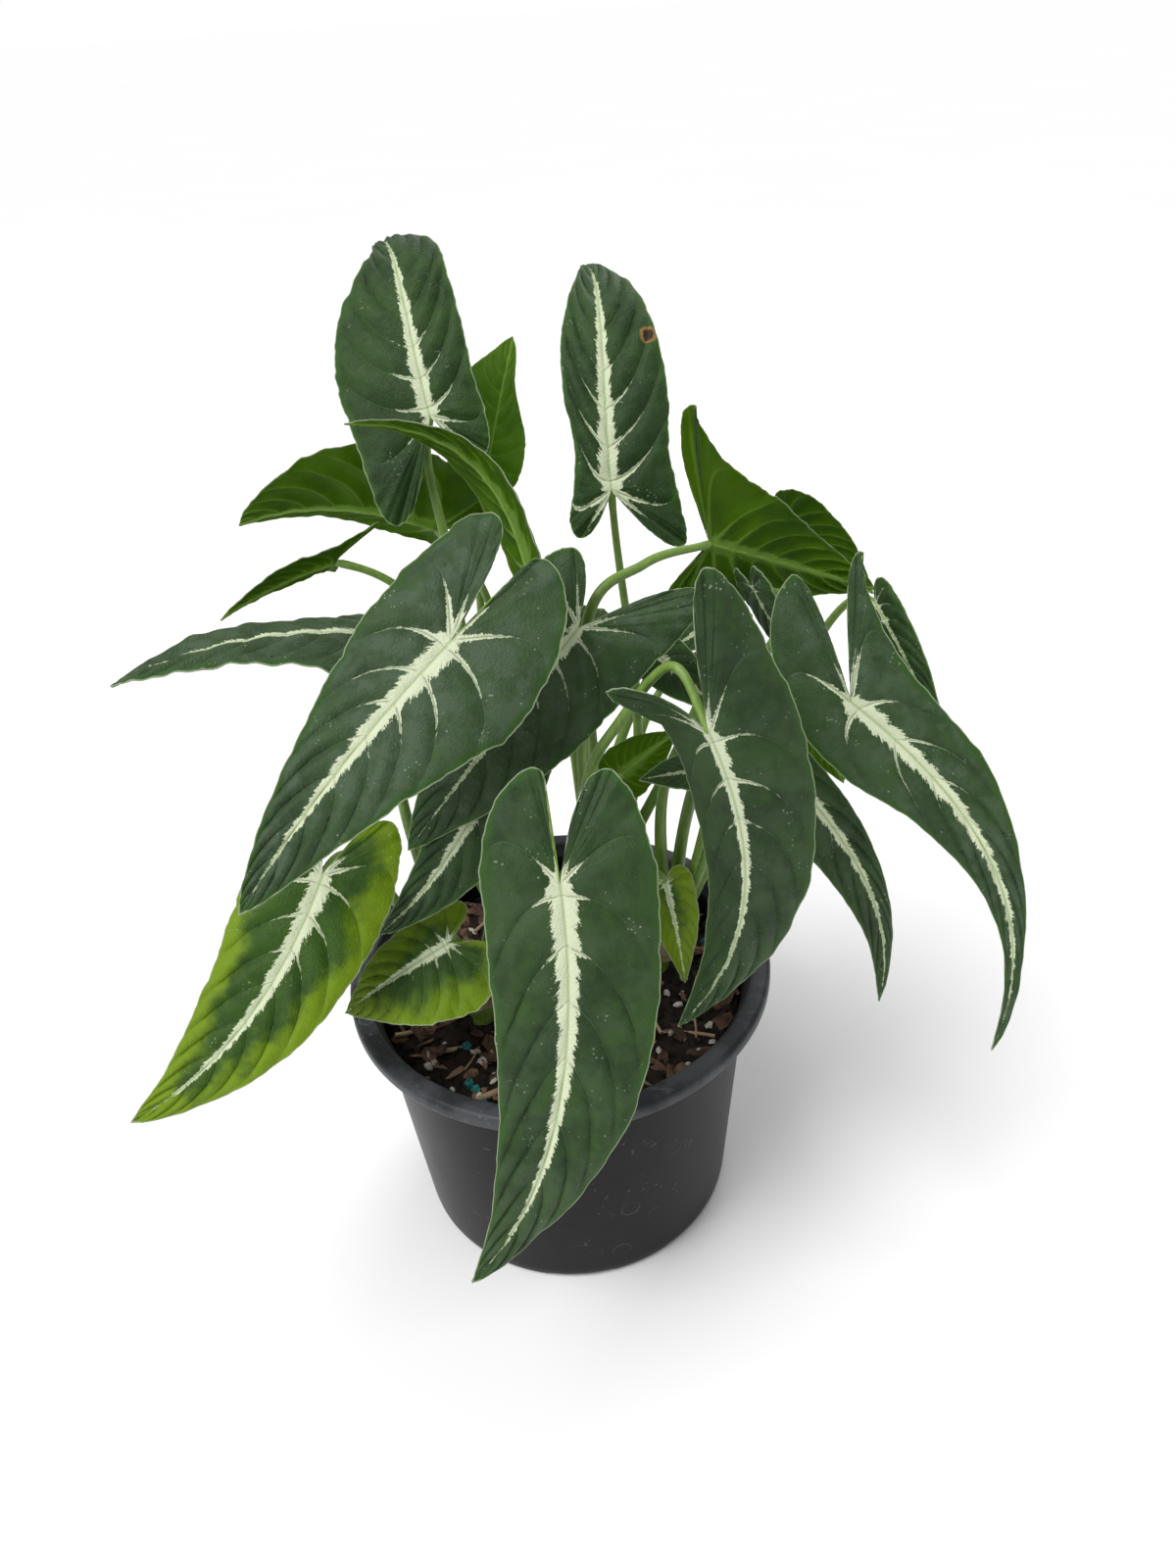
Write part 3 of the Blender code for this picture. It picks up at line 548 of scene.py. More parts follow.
def tube(path, radii, sides, groove=0.0, ridges=0.0):
    """A closed tube along a path, with a channel on its outer bend and fine ridges.

    A point is the path plus the radius times a circle in the plane square to it.
    The radius dips by groove round angle 0 and ripples by ridges, and the ends
    close on one point each.
    """
    path = np.asarray(path, float)
    ahead = unit(np.gradient(path, axis=0))
    turn = np.cross(ahead[:-1], ahead[1:]).sum(0)
    turn = unit(turn if np.linalg.norm(turn) > 1e-3 else np.array([0.3, 1.0, 0.2]))
    side = unit(turn - ahead * (ahead @ turn)[:, None])
    outer = np.cross(ahead, side) * -1
    angle = np.linspace(0, 2 * math.pi, sides, endpoint=False)
    away = np.minimum(angle, 2 * math.pi - angle)
    shape = 1 - np.outer(np.broadcast_to(groove, len(path)), np.exp(-(away / 0.42) ** 2))
    shape = shape + ridges * np.cos(7 * angle)
    ring = (outer[:, None] * np.cos(angle)[None, :, None] + side[:, None] * np.sin(angle)[None, :, None])
    points = path[:, None] + ring * (np.asarray(radii)[:, None] * shape)[..., None]
    rows = len(path)
    faces = triangles(rows, sides, closed=True)[:, ::-1]
    points = np.concatenate([points.reshape(-1, 3), path[:1], path[-1:]])
    ring = np.arange(sides)
    after = (ring + 1) % sides
    first = np.full(sides, rows * sides)
    last = (rows - 1) * sides
    ends = np.concatenate([np.stack([first, after, ring], -1)[:, ::-1],
                           np.stack([first + 1, ring + last, after + last], -1)[:, ::-1]])
    along = np.repeat(np.linspace(0, 1, rows), sides)
    return points, np.concatenate([faces, ends]), np.concatenate([along, [0, 1]])


def joined(parts):
    """Several closed shells as one set of points, faces and values."""
    start, faces = 0, []
    for points, made, _ in parts:
        faces.append(made + start)
        start += len(points)
    return (np.concatenate([p[0] for p in parts]), np.concatenate(faces),
            np.concatenate([p[2] for p in parts]))


def outward(points, faces):
    """The faces turned so that the shell's volume is positive."""
    a, b, c = points[faces[:, 0]], points[faces[:, 1]], points[faces[:, 2]]
    return faces if (np.cross(a, b) * c).sum() > 0 else faces[:, ::-1]


def make_stem(s, finish):
    """A ringed stem with the grooved stalks of its leaves, sheathed at their feet."""
    sides = 20
    top = soil_height(s["x"], s["y"])
    base = np.array([s["x"], s["y"], top - STEM_DEPTH])
    knee = np.array([s["x"], s["y"], top + 1.0])
    crown = np.array([s["x"] + s["lean"][0], s["y"] + s["lean"][1], top + STEM_TOP])
    path = smooth(np.linspace(0, 3, 60), np.array([base, knee, (knee + crown) / 2, crown]))
    share = np.linspace(0, 1, 60)
    radii = STEM_RADIUS * (1 - 0.42 * ramp(share, 0.55, 1)) * (1 - 0.05 * np.cos(share * 40) ** 8)
    parts = [tube(path, radii, sides)]
    for spec in LEAVES:
        if spec["stem"] != s["name"]:
            continue
        steps = 90
        path = stalk_path(spec, s, steps)
        share = np.linspace(0, 1, steps)
        radii = STALK_ROOT_RADIUS + (STALK_TIP_RADIUS - STALK_ROOT_RADIUS) * share ** 0.8
        radii = radii * (1 + 0.22 * (1 - ramp(share, 0.05, 0.42)))
        radii = radii * (1 + 0.18 * ramp(share, 0.95, 1.0)) * (1 - 0.35 * ramp(share, 0.985, 1.0))
        groove = 0.1 + 0.22 * (1 - ramp(share, 0.1, 0.5))
        parts.append(tube(path, radii, sides, groove, 0.012))
    parts = [(p, outward(p, f), v) for p, f, v in parts]
    points, faces, along = joined(parts)
    return piece(s["name"] + "_stalks", points, faces, [finish], values={"along": along})


# Pot and soil

def make_pot(finish):
    """The pot as a turned shell: a profile of radius and height carried round Z.

    The rim's outer side swings by a tenth of a millimetre, and the foot's underside
    rises at each of its notches.
    """
    steps = 288
    rim_in, rim_low = RIM_RADIUS - RIM_WIDTH, POT_HEIGHT - RIM_DEPTH
    curl = np.linspace(0, math.pi / 2, 7)
    rim = [(RIM_RADIUS - 1.7 + 1.7 * math.sin(a), POT_HEIGHT - 1.7 + 1.7 * math.cos(a)) for a in curl]
    inner = [(rim_in + 1.2 - 1.2 * math.sin(a), POT_HEIGHT - 1.2 + 1.2 * math.cos(a)) for a in curl[::-1]]
    wall_z = np.linspace(rim_low - 2.2, 4.0, 40)
    slope = (WALL_TOP_RADIUS - BASE_RADIUS - 0.3) / (rim_low - 4.5)
    wall = [(BASE_RADIUS + 0.3 + slope * (z - 3.0), z) for z in wall_z]
    inner_floor = FLOOR_RISE + WALL
    back = [(r - WALL, z) for r, z in wall[::-1] if z > inner_floor + 2.5]
    profile = inner + rim + [
        (RIM_RADIUS, rim_low + 1.1), (RIM_RADIUS - 0.25, rim_low + 0.45), (RIM_RADIUS - 0.8, rim_low),
        (RIM_RADIUS - 1.4, rim_low + 0.35), (RIM_RADIUS - 1.9, POT_HEIGHT - 2.9),
        (WALL_TOP_RADIUS + 1.2, POT_HEIGHT - 3.3), (WALL_TOP_RADIUS + 0.35, rim_low - 0.9)] + wall + [
        (BASE_RADIUS + 0.1, 2.2), (BASE_RADIUS - 0.4, 1.0), (BASE_RADIUS - 1.2, 0.25),
        (BASE_RADIUS - 2.0, 0.0), (BASE_RADIUS - FOOT_WIDTH + 0.4, 0.0),
        (BASE_RADIUS - FOOT_WIDTH, 0.4), (BASE_RADIUS - FOOT_WIDTH - 0.9, FLOOR_RISE),
        (DRAIN_RING + DRAIN_RADIUS + 3, FLOOR_RISE), (DRAIN_RING, FLOOR_RISE),
        (DRAIN_RING - DRAIN_RADIUS - 3, FLOOR_RISE), (PAD_RADIUS + 2.0, FLOOR_RISE),
        (PAD_RADIUS + 0.3, 0.4), (PAD_RADIUS - 0.4, 0.0), (PAD_RADIUS - 4, 0.0), (0.0, 0.0),
        (0.0, inner_floor), (DRAIN_RING, inner_floor), (BASE_RADIUS - FOOT_WIDTH, inner_floor),
        (BASE_RADIUS - 1.8, inner_floor + 1.2)] + back + [
        (WALL_TOP_RADIUS - WALL + 0.6, rim_low + 0.2), (rim_in, POT_HEIGHT - 2.6)]
    profile = np.array(profile)
    angle = np.linspace(0, 2 * math.pi, steps, endpoint=False)
    r, z = profile[:, :1], profile[:, 1:]
    turn = angle[None]
    high = ramp(z, rim_low - 1, rim_low + 1)
    r = r + 0.1 * high * np.sin(3 * turn + 1) + 0.06 * high * np.sin(7 * turn)
    notch = np.abs(((turn + math.pi / FOOT_COUNT) * FOOT_COUNT / (2 * math.pi)) % 1 - 0.5) * 2
    notch = 1 - ramp(notch, FOOT_NOTCH_SHARE - 0.03, FOOT_NOTCH_SHARE + 0.03)
    foot = (r > PAD_RADIUS + 4) & (z < FOOT_NOTCH_HEIGHT)
    z = np.where(foot, np.maximum(z, FOOT_NOTCH_HEIGHT * notch), z + 0 * turn)
    points = np.stack([r * np.cos(turn), r * np.sin(turn), z], -1).reshape(-1, 3)
    faces = triangles(len(profile), steps, closed=True)
    last = (len(profile) - 1) * steps
    ring = np.arange(steps)
    after = (ring + 1) % steps
    seam = np.concatenate([np.stack([ring + last, after + last, after], -1),
                           np.stack([ring + last, after, ring], -1)])
    faces = np.concatenate([faces, seam])
    first, faces, _ = weld(points, faces)
    points = points[first]
    pot = piece("pot_shell", points, outward(points, faces), [finish], sharp=40)
    cutters = drain_cutters(inner_floor)
    cut = pot.modifiers.new("drains", "BOOLEAN")
    cut.object = cutters
    cut.solver = "EXACT"
    graph = bpy.context.evaluated_depsgraph_get()
    mesh = bpy.data.meshes.new_from_object(pot.evaluated_get(graph))
    pot.modifiers.clear()
    pot.data = mesh
    bpy.data.objects.remove(cutters)
    return pot


def drain_cutters(inner_floor):
    """Short upright cylinders where the drain holes go."""
    parts = []
    for k in range(DRAIN_COUNT):
        angle = 2 * math.pi * (k + 0.5) / DRAIN_COUNT
        x, y = DRAIN_RING * math.cos(angle), DRAIN_RING * math.sin(angle)
        path = [(x, y, z) for z in np.linspace(-WALL, inner_floor + WALL, 4)]
        points, faces, along = tube(path, np.full(4, DRAIN_RADIUS), 32)
        parts.append((points, outward(points, faces), along))
    points, faces, _ = joined(parts)
    return piece("drain_cutters", points, faces, [])


def rough(x, y, seed, scales):
    """A sum of crossed sines with seeded phases: an uneven height for soil."""
    rng = np.random.default_rng(seed)
    total = 0
    for scale, size in scales:
        for _ in range(4):
            angle, phase = rng.uniform(0, 2 * math.pi, 2)
            total = total + size * np.sin((x * math.cos(angle) + y * math.sin(angle)) / scale + phase) / 2
    return total


def make_soil(finish):
    """The soil as a disc of rings: its height is the mound plus crumbs of four sizes."""
    rings, steps = ((150, 380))
    floor = FLOOR_RISE + WALL + GAP
    slope = (WALL_TOP_RADIUS - BASE_RADIUS) / (POT_HEIGHT - RIM_DEPTH)
    top_radius = BASE_RADIUS - WALL - 2 * GAP + slope * SOIL_LEVEL
    share = np.linspace(0, 1, rings)[:, None]
    angle = np.linspace(0, 2 * math.pi, steps, endpoint=False)[None]
    x, y = top_radius * share * np.cos(angle), top_radius * share * np.sin(angle)
    crumbs = rough(x, y, 3, ((3.1, 0.5), (1.4, 0.3), (0.7, 0.16), (0.35, 0.1)))
    z = soil_height(x, y) + crumbs * ramp(1 - share, 0, 0.03) - 1.2 * ramp(share, 0.93, 1)
    skin = np.stack([x, y, z], -1)
    side = [(BASE_RADIUS - WALL - 2 * GAP + slope * h, h) for h in (60.0, 30.0, 6.0)]
    side += [(BASE_RADIUS - FOOT_WIDTH - GAP, floor), (20.0, floor), (0.0, floor)]
    low = np.stack([np.stack([r * np.cos(angle[0]), r * np.sin(angle[0]), h + 0 * angle[0]], -1)
                    for r, h in side])
    points = np.concatenate([skin, low]).reshape(-1, 3)
    faces = triangles(rings + len(side), steps, closed=True)
    first, faces, _ = weld(points, faces)
    points = points[first]
    return piece("soil_bed", points, outward(points, faces), [finish], sharp=180)


def free_places(rng, count, limit):
    """Places on the soil that keep off the stems."""
    r = limit * np.sqrt(rng.uniform(0, 1, count * 3))
    angle = rng.uniform(0, 2 * math.pi, count * 3)
    x, y = r * np.cos(angle), r * np.sin(angle)
    clear = np.ones(len(x), bool)
    for s in STEMS:
        clear &= np.hypot(x - s["x"], y - s["y"]) > STEM_RADIUS + 2.5
    return x[clear][:count], y[clear][:count]


def scatter(name, rng, shape, faces, places, sizes, lift, finish, tilt=0.5):
    """One small shape repeated over the soil: each copy scaled, turned and dented."""
    x, y = places
    count = len(x)
    sizes = np.stack([rng.uniform(low, high, count) for low, high in sizes], -1)
    yaw = rng.uniform(0, 2 * math.pi, count)
    lean, roll = rng.normal(0, tilt, (2, count))
    dents = 1 + rng.uniform(-0.22, 0.22, (count, len(shape), 1))
    points = shape[None] * dents * sizes[:, None]
    c, s = np.cos(lean)[:, None], np.sin(lean)[:, None]
    points = np.stack([points[..., 0] * c + points[..., 2] * s, points[..., 1],
                       points[..., 2] * c - points[..., 0] * s], -1)
    c, s = np.cos(roll)[:, None], np.sin(roll)[:, None]
    points = np.stack([points[..., 0], points[..., 1] * c - points[..., 2] * s,
                       points[..., 1] * s + points[..., 2] * c], -1)
    c, s = np.cos(yaw)[:, None], np.sin(yaw)[:, None]
    points = np.stack([points[..., 0] * c - points[..., 1] * s,
                       points[..., 0] * s + points[..., 1] * c, points[..., 2]], -1)
    z = soil_height(x, y) + rough(x, y, 3, ((3.1, 0.5), (1.4, 0.3))) + lift * sizes[:, 2]
    points = points + np.stack([x, y, z], -1)[:, None]
    every = faces[None] + (np.arange(count) * len(shape))[:, None, None]
    shade = np.repeat(rng.uniform(0, 1, count), len(shape))
    return piece(name, points.reshape(-1, 3), every.reshape(-1, 3), [finish],
                 values={"shade": shade}, sharp=35)


def ball(rings, steps):
    """A unit ball: latitude times longitude, with one point at each pole."""
    lat = np.linspace(-math.pi / 2, math.pi / 2, rings)[:, None]
    turn = np.linspace(0, 2 * math.pi, steps, endpoint=False)[None]
    points = np.stack([np.cos(lat) * np.cos(turn), np.cos(lat) * np.sin(turn),
                       np.sin(lat) + 0 * turn], -1).reshape(-1, 3)
    first, faces, _ = weld(points, triangles(rings, steps, closed=True))
    points = points[first]
    return points, outward(points, faces)


def make_straws(finish):
    """Dry straws on the soil: thin bent tubes, the longest near the front left."""
    rng = np.random.default_rng(11)
    x, y = free_places(rng, 34, 50)
    parts = []
    placed = [(-19.5, -43.0, 0.45, 17.0, 1.0)]
    placed += [(a, b, rng.uniform(0, 3.1), rng.uniform(5, 13), rng.uniform(0.3, 0.8)) for a, b in zip(x, y)]
    for a, b, yaw, long, thick in placed:
        s = np.linspace(-0.5, 0.5, 10) * long
        bend = rng.uniform(-0.02, 0.02)
        px = a + s * math.cos(yaw) - bend * s * s * math.sin(yaw)
        py = b + s * math.sin(yaw) + bend * s * s * math.cos(yaw)
        out = np.hypot(px, py).max()
        if out > 54:
            px, py = px * 54 / out, py * 54 / out
        pz = soil_height(px, py).mean() + 0.8 + s * rng.uniform(-0.08, 0.08)
        points, faces, along = tube(np.stack([px, py, pz], -1), np.full(10, thick), 8)
        parts.append((points, outward(points, faces), along * 0 + rng.uniform()))
    points, faces, shade = joined(parts)
    return piece("straw_bits", points, faces, [finish], values={"shade": shade})


def make_sheaths(finish):
    """Pale dry sheaths at the stems' feet: a curled strip, closed, round an upright arc."""
    parts = []
    rng = np.random.default_rng(5)
    for x, y, low, tall, wide, face in ((-24, -16, 88, 30, 4.6, 4.4), (-32, -14, 92, 32, 4.2, 3.6),
                                        (13, -23, 86, 22, 4.6, 4.9), (33, 4, 86, 20, 4.4, 5.6),
                                        (-16, 16, 86, 24, 4.4, 2.2), (13, 27, 86, 22, 4.4, 1.2)):
        h, a = np.meshgrid(np.linspace(0, 1, 24), np.linspace(-1, 1, 13), indexing="ij")
        open_half = 1.5 * (1 - h ** 2.5) + 0.05
        r = wide * (0.95 + 0.12 * np.sin(h * 5 + rng.uniform(0, 6))) * (1 - 0.15 * h)
        angle = face + a * open_half
        skin = np.stack([x + r * np.cos(angle), y + r * np.sin(angle), low + tall * h + 0.8 * np.sin(a * 3)], -1)
        inner = np.stack([x + (r - 0.35) * np.cos(angle), y + (r - 0.35) * np.sin(angle),
                          low + tall * h + 0.8 * np.sin(a * 3)], -1)
        n = h.size
        faces = triangles(24, 13)
        rim = np.concatenate([np.arange(12), np.arange(23) * 13 + 12, 23 * 13 + np.arange(12, 0, -1),
                              np.arange(23, 0, -1) * 13])
        after = np.roll(rim, -1)
        edge = np.concatenate([np.stack([rim, after + n, after], -1), np.stack([rim, rim + n, after + n], -1)])
        every = np.concatenate([faces, faces[:, ::-1] + n, edge])
        points = np.concatenate([skin.reshape(-1, 3), inner.reshape(-1, 3)])
        parts.append((points, outward(points, every), np.concatenate([h.ravel(), h.ravel()])))
    points, faces, along = joined(parts)
    return piece("stem_sheaths", points, faces, [finish], values={"along": along})


# Finishes

class Sheet:
    """A shader tree with short calls for the nodes used here."""

    def __init__(self, tree):
        self.tree = tree

    def node(self, kind, *values, **settings):
        made = self.tree.nodes.new("ShaderNode" + kind)
        for key, value in settings.items():
            setattr(made, key, value)
        for slot, value in zip(made.inputs, values):
            self.feed(slot, value)
        return made

    def feed(self, slot, value):
        if isinstance(value, bpy.types.NodeSocket):
            self.tree.links.new(value, slot)
        elif isinstance(value, tuple) and slot.type == "RGBA":
            slot.default_value = (*value, 1.0)
        elif value is not None:
            slot.default_value = value

    def math(self, operation, *values, clamp=False):
        return self.node("Math", *values, operation=operation, use_clamp=clamp).outputs[0]

    def kept(self, name):
        return self.node("Attribute", attribute_name=name).outputs["Fac"]

    def noise(self, place, scale, detail=3.0, roughness=0.55, warp=0.0):
        made = self.node("TexNoise")
        for key, value in (("Vector", place), ("Scale", scale), ("Detail", detail),
                           ("Roughness", roughness), ("Distortion", warp)):
            self.feed(made.inputs[key], value)
        return made.outputs["Fac"]

    def cells(self, place, scale, feature="F1"):
        made = self.node("TexVoronoi", feature=feature)
        self.feed(made.inputs["Vector"], place)
        self.feed(made.inputs["Scale"], scale)
        return made.outputs["Distance"]

    def step(self, value, low, high, first=0.0, last=1.0):
        """first below low, last above high, with a soft bend between."""
        made = self.node("MapRange", value, low, high, first, last, interpolation_type="SMOOTHSTEP")
        return made.outputs[0]

    def mix(self, share, a, b):
        made = self.node("Mix", data_type="RGBA")
        for slot, value in ((0, share), (6, a), (7, b)):
            self.feed(made.inputs[slot], value)
        return made.outputs[2]

    def where(self):
        return self.node("TexCoord").outputs["Object"]

    def flat(self, across=1.0, along=1.0):
        made = self.node("UVMap", uv_map="flat").outputs["UV"]
        return self.node("Mapping", made, None, None, (across, along, 1.0)).outputs[0]

    def group(self, tree, *values):
        made = self.node("Group", node_tree=tree)
        for slot, value in zip(made.inputs, values):
            self.feed(slot, value)
        return made.outputs


def effect(name, inputs, outputs, build):
    """A node group with named sockets, filled by build(sheet, inputs)."""
    tree = bpy.data.node_groups.new(name, "ShaderNodeTree")
    for key, kind, value in inputs:
        made = tree.interface.new_socket(key, in_out="INPUT", socket_type="NodeSocket" + kind)
        made.default_value = value
    for key, kind in outputs:
        tree.interface.new_socket(key, in_out="OUTPUT", socket_type="NodeSocket" + kind)
    sheet = Sheet(tree)
    entry = tree.nodes.new("NodeGroupInput")
    leave = tree.nodes.new("NodeGroupOutput")
    for slot, value in zip(leave.inputs, build(sheet, entry.outputs)):
        tree.links.new(value, slot)
    return tree


def build_mottle(sheet, given):
    """A colour made lighter and darker by two sizes of blotch, and their height."""
    colour, dark, size, strength = given[0], given[1], given[2], given[3]
    place = sheet.where()
    large = sheet.noise(place, size, 3.0)
    small = sheet.noise(place, sheet.math("MULTIPLY", size, 6.5), 4.0, 0.6)
    both = sheet.math("ADD", sheet.math("MULTIPLY", large, 0.65), sheet.math("MULTIPLY", small, 0.35))
    share = sheet.math("MULTIPLY", sheet.step(both, 0.38, 0.64), strength)
    return sheet.mix(share, colour, dark), both


def build_specks(sheet, given):
    """A mask of scattered round specks: centres of cells that a noise lets through."""
    size, amount = given[0], given[1]
    place = sheet.where()
    near = sheet.cells(place, size)
    gate = sheet.noise(place, sheet.math("MULTIPLY", size, 0.21), 2.0)
    limit = sheet.math("MULTIPLY", sheet.step(gate, 0.5, 0.72), amount)
    return (sheet.math("LESS_THAN", near, limit),)


def build_veins(sheet, given):
    """Masks that follow a blade's values: side vein lines, midrib, and pale stripe."""
    near = sheet.math("MULTIPLY", sheet.math("PINGPONG", sheet.kept("vein"), 0.5), sheet.kept("gap"))
    fade = sheet.step(sheet.kept("out"), 1.0, 0.75)
    line = sheet.math("MULTIPLY", sheet.step(near, 0.42, 0.05), fade)
    across = sheet.math("ABSOLUTE", sheet.kept("across"))
    rib = sheet.step(across, 0.5, 0.2)
    ahead = sheet.math("SUBTRACT", sheet.kept("along"), sheet.math("MULTIPLY", across, 1.2))
    place = sheet.math("MULTIPLY", sheet.kept("across"), 0.35)
    streaks = sheet.node("CombineXYZ", ahead, place, 0.0).outputs[0]
    long = sheet.noise(streaks, 0.34, 2.0, 0.6)
    short = sheet.noise(streaks, 1.7, 3.0, 0.75)
    both = sheet.math("ADD", sheet.math("MULTIPLY", long, 0.5), sheet.math("MULTIPLY", short, 0.5))
    ragged = sheet.math("MULTIPLY", sheet.math("SUBTRACT", both, 0.5), given[0])
    fine = sheet.math("MULTIPLY", sheet.math("SUBTRACT", sheet.noise(sheet.flat(), 190.0, 3.0, 0.7), 0.5), 1.4)
    edge = sheet.math("MULTIPLY", sheet.math("ADD", ragged, fine), sheet.kept("fray"))
    pale = sheet.step(sheet.math("ADD", sheet.kept("pale"), edge), -0.02, 0.08)
    split = sheet.math("MULTIPLY", sheet.step(near, 0.13, 0.03), sheet.step(across, 0.8, 1.4))
    pale = sheet.math("MULTIPLY", pale, sheet.math("SUBTRACT", 1.0, sheet.math("MULTIPLY", split, 0.85)))
    return line, rib, pale


def finish(name, build, **values):
    """A material: build(sheet, shader) wires it, and values go on the shader's sockets."""
    made = bpy.data.materials.new(name)
    made.use_nodes = True
    sheet = Sheet(made.node_tree)
    shader = made.node_tree.nodes["Principled BSDF"]
    for key, value in values.items():
        shader.inputs[key.replace("_", " ")].default_value = value
    build(sheet, shader)
    return made


def bump(sheet, shader, height, distance, strength=0.6):
    made = sheet.node("Bump")
    made.inputs["Strength"].default_value = strength
    made.inputs["Distance"].default_value = distance
    sheet.feed(made.inputs["Height"], height)
    sheet.feed(shader.inputs["Normal"], made.outputs[0])


def glow_through(sheet, shader, colour, share):
    """Mixes in light that comes through a thin blade."""
    through = sheet.node("BsdfTranslucent")
    sheet.feed(through.inputs["Color"], colour)
    both = sheet.node("MixShader")
    both.inputs[0].default_value = share
    sheet.feed(both.inputs[1], shader.outputs[0])
    sheet.feed(both.inputs[2], through.outputs[0])
    out = next(n for n in sheet.tree.nodes if n.type == "OUTPUT_MATERIAL")
    sheet.feed(out.inputs["Surface"], both.outputs[0])


def upper_side(groups, deep, mid, grey, edge_colour, silver, glow, margin):
    """A blade's upper side: blotched green, painted sky sheen in grey-green patches, pale stripe, vein lines, rim
    line, specks.
    """
    def build(sheet, shader):
        veins_of = sheet.group(groups["veins"], 5.0)
        line, rib, pale = veins_of[0], veins_of[1], veins_of[2]
        green, cloud = sheet.group(groups["mottle"], mid, deep, 60.0, 0.85)[:2]
        # Painted sky sheen: noise patches of the grey-green, scaled by the blade's tone, stand in for the sky's
        # reflection.
        bloom = sheet.step(sheet.noise(sheet.where(), 130.0, 5.0, 0.65), 0.40, 0.66)
        bloom = sheet.math("MULTIPLY", sheet.math("ADD", bloom, 0.35), sheet.kept("tone"))
        green = sheet.mix(bloom, green, grey)
        inside = sheet.kept("inside")
        wide = sheet.noise(sheet.flat(), 9.0, 3.0, 0.6)
        fringe = sheet.math("ADD", sheet.step(inside, margin * 1.4, 0.0),
                            sheet.math("MULTIPLY", sheet.math("SUBTRACT", wide, 0.5), 2.2))
        green = sheet.mix(sheet.step(fringe, 0.1, 0.9), green, edge_colour)
        green = sheet.mix(sheet.math("MULTIPLY", line, 0.3), green, (0.10, 0.17, 0.07))
        pale_colour = sheet.mix(sheet.math("MULTIPLY", rib, 0.7), silver, (0.36, 0.46, 0.22))
        colour = sheet.mix(pale, green, pale_colour)
        colour = sheet.mix(sheet.math("MULTIPLY", sheet.step(inside, 0.42, 0.12), 0.75), colour, (0.36, 0.42, 0.28))
        fleck = sheet.group(groups["specks"], 900.0, 0.26)[0]
        colour = sheet.mix(sheet.math("MULTIPLY", fleck, 0.4), colour, (0.42, 0.46, 0.36))
        mark = sheet.math("ADD", sheet.kept("mark"), sheet.math("MULTIPLY", sheet.noise(sheet.flat(), 60.0), 1.2))
        colour = sheet.mix(sheet.step(mark, 1.6, 0.9), colour, (0.30, 0.17, 0.05))
        colour = sheet.mix(sheet.step(mark, 0.9, 0.3), colour, (0.035, 0.018, 0.01))
        sheet.feed(shader.inputs["Base Color"], colour)
        sheen = sheet.math("ADD", 0.42, sheet.math("MULTIPLY", cloud, 0.22))
        sheet.feed(shader.inputs["Roughness"], sheen)
        cell = sheet.cells(sheet.flat(), 210.0)
        height = sheet.math("SUBTRACT", sheet.math("MULTIPLY", cell, 0.5), sheet.math("MULTIPLY", line, 0.6))
        grain = sheet.noise(sheet.where(), 1100.0, 3.0)
        bump(sheet, shader, sheet.math("ADD", height, sheet.math("MULTIPLY", grain, 0.25)), 0.0004, 0.7)
        glow_through(sheet, shader, sheet.mix(pale, glow, silver), 0.12)
    return build


def lower_side(groups, deep, mid, glow, share=0.3):
    """A blade's lower side: a paler yellow green than the upper side, brightened further as painted light coming
    through the blade, with pale raised veins.
    """
    def build(sheet, shader):
        veins_of = sheet.group(groups["veins"], 5.0)
        line, rib, pale = veins_of[0], veins_of[1], veins_of[2]
        green, cloud = sheet.group(groups["mottle"], mid, deep, 30.0, 0.9)[:2]
        green = sheet.mix(sheet.math("MULTIPLY", pale, 0.35), green, (0.33, 0.46, 0.14))
        green = sheet.mix(sheet.math("MULTIPLY", line, 0.45), green, (0.22, 0.38, 0.05))
        green = sheet.mix(sheet.math("MULTIPLY", rib, 0.7), green, (0.30, 0.46, 0.09))
        rim = sheet.step(sheet.kept("inside"), 0.4, 0.12)
        colour = sheet.mix(sheet.math("MULTIPLY", rim, 0.6), green, (0.33, 0.42, 0.16))
        sheet.feed(shader.inputs["Base Color"], colour)
        sheet.feed(shader.inputs["Roughness"], sheet.math("ADD", 0.38, sheet.math("MULTIPLY", cloud, 0.2)))
        cell = sheet.cells(sheet.flat(), 190.0)
        bump(sheet, shader, cell, 0.0002, 0.4)
        glow_through(sheet, shader, glow, share)
    return build


def stalk_side(groups):
    """A stalk: light green, with fine lines and a red-brown foot."""
    def build(sheet, shader):
        along = sheet.kept("along")
        green, cloud = sheet.group(groups["mottle"], (0.16, 0.27, 0.045), (0.09, 0.17, 0.03), 60.0, 0.8)[:2]
        tall = sheet.node("Mapping", sheet.where(), None, None, (900.0, 900.0, 60.0)).outputs[0]
        lines = sheet.noise(tall, 1.0, 2.0)
        green = sheet.mix(sheet.step(lines, 0.4, 0.75, 0.0, 0.4), green, (0.24, 0.36, 0.09))
        foot = sheet.step(along, 0.12, 0.0, 0.0, 0.55)
        colour = sheet.mix(foot, green, (0.13, 0.12, 0.04))
        sheet.feed(shader.inputs["Base Color"], colour)
        sheet.feed(shader.inputs["Roughness"], sheet.math("ADD", 0.3, sheet.math("MULTIPLY", cloud, 0.2)))
        bump(sheet, shader, lines, 0.0002, 0.3)
    return build


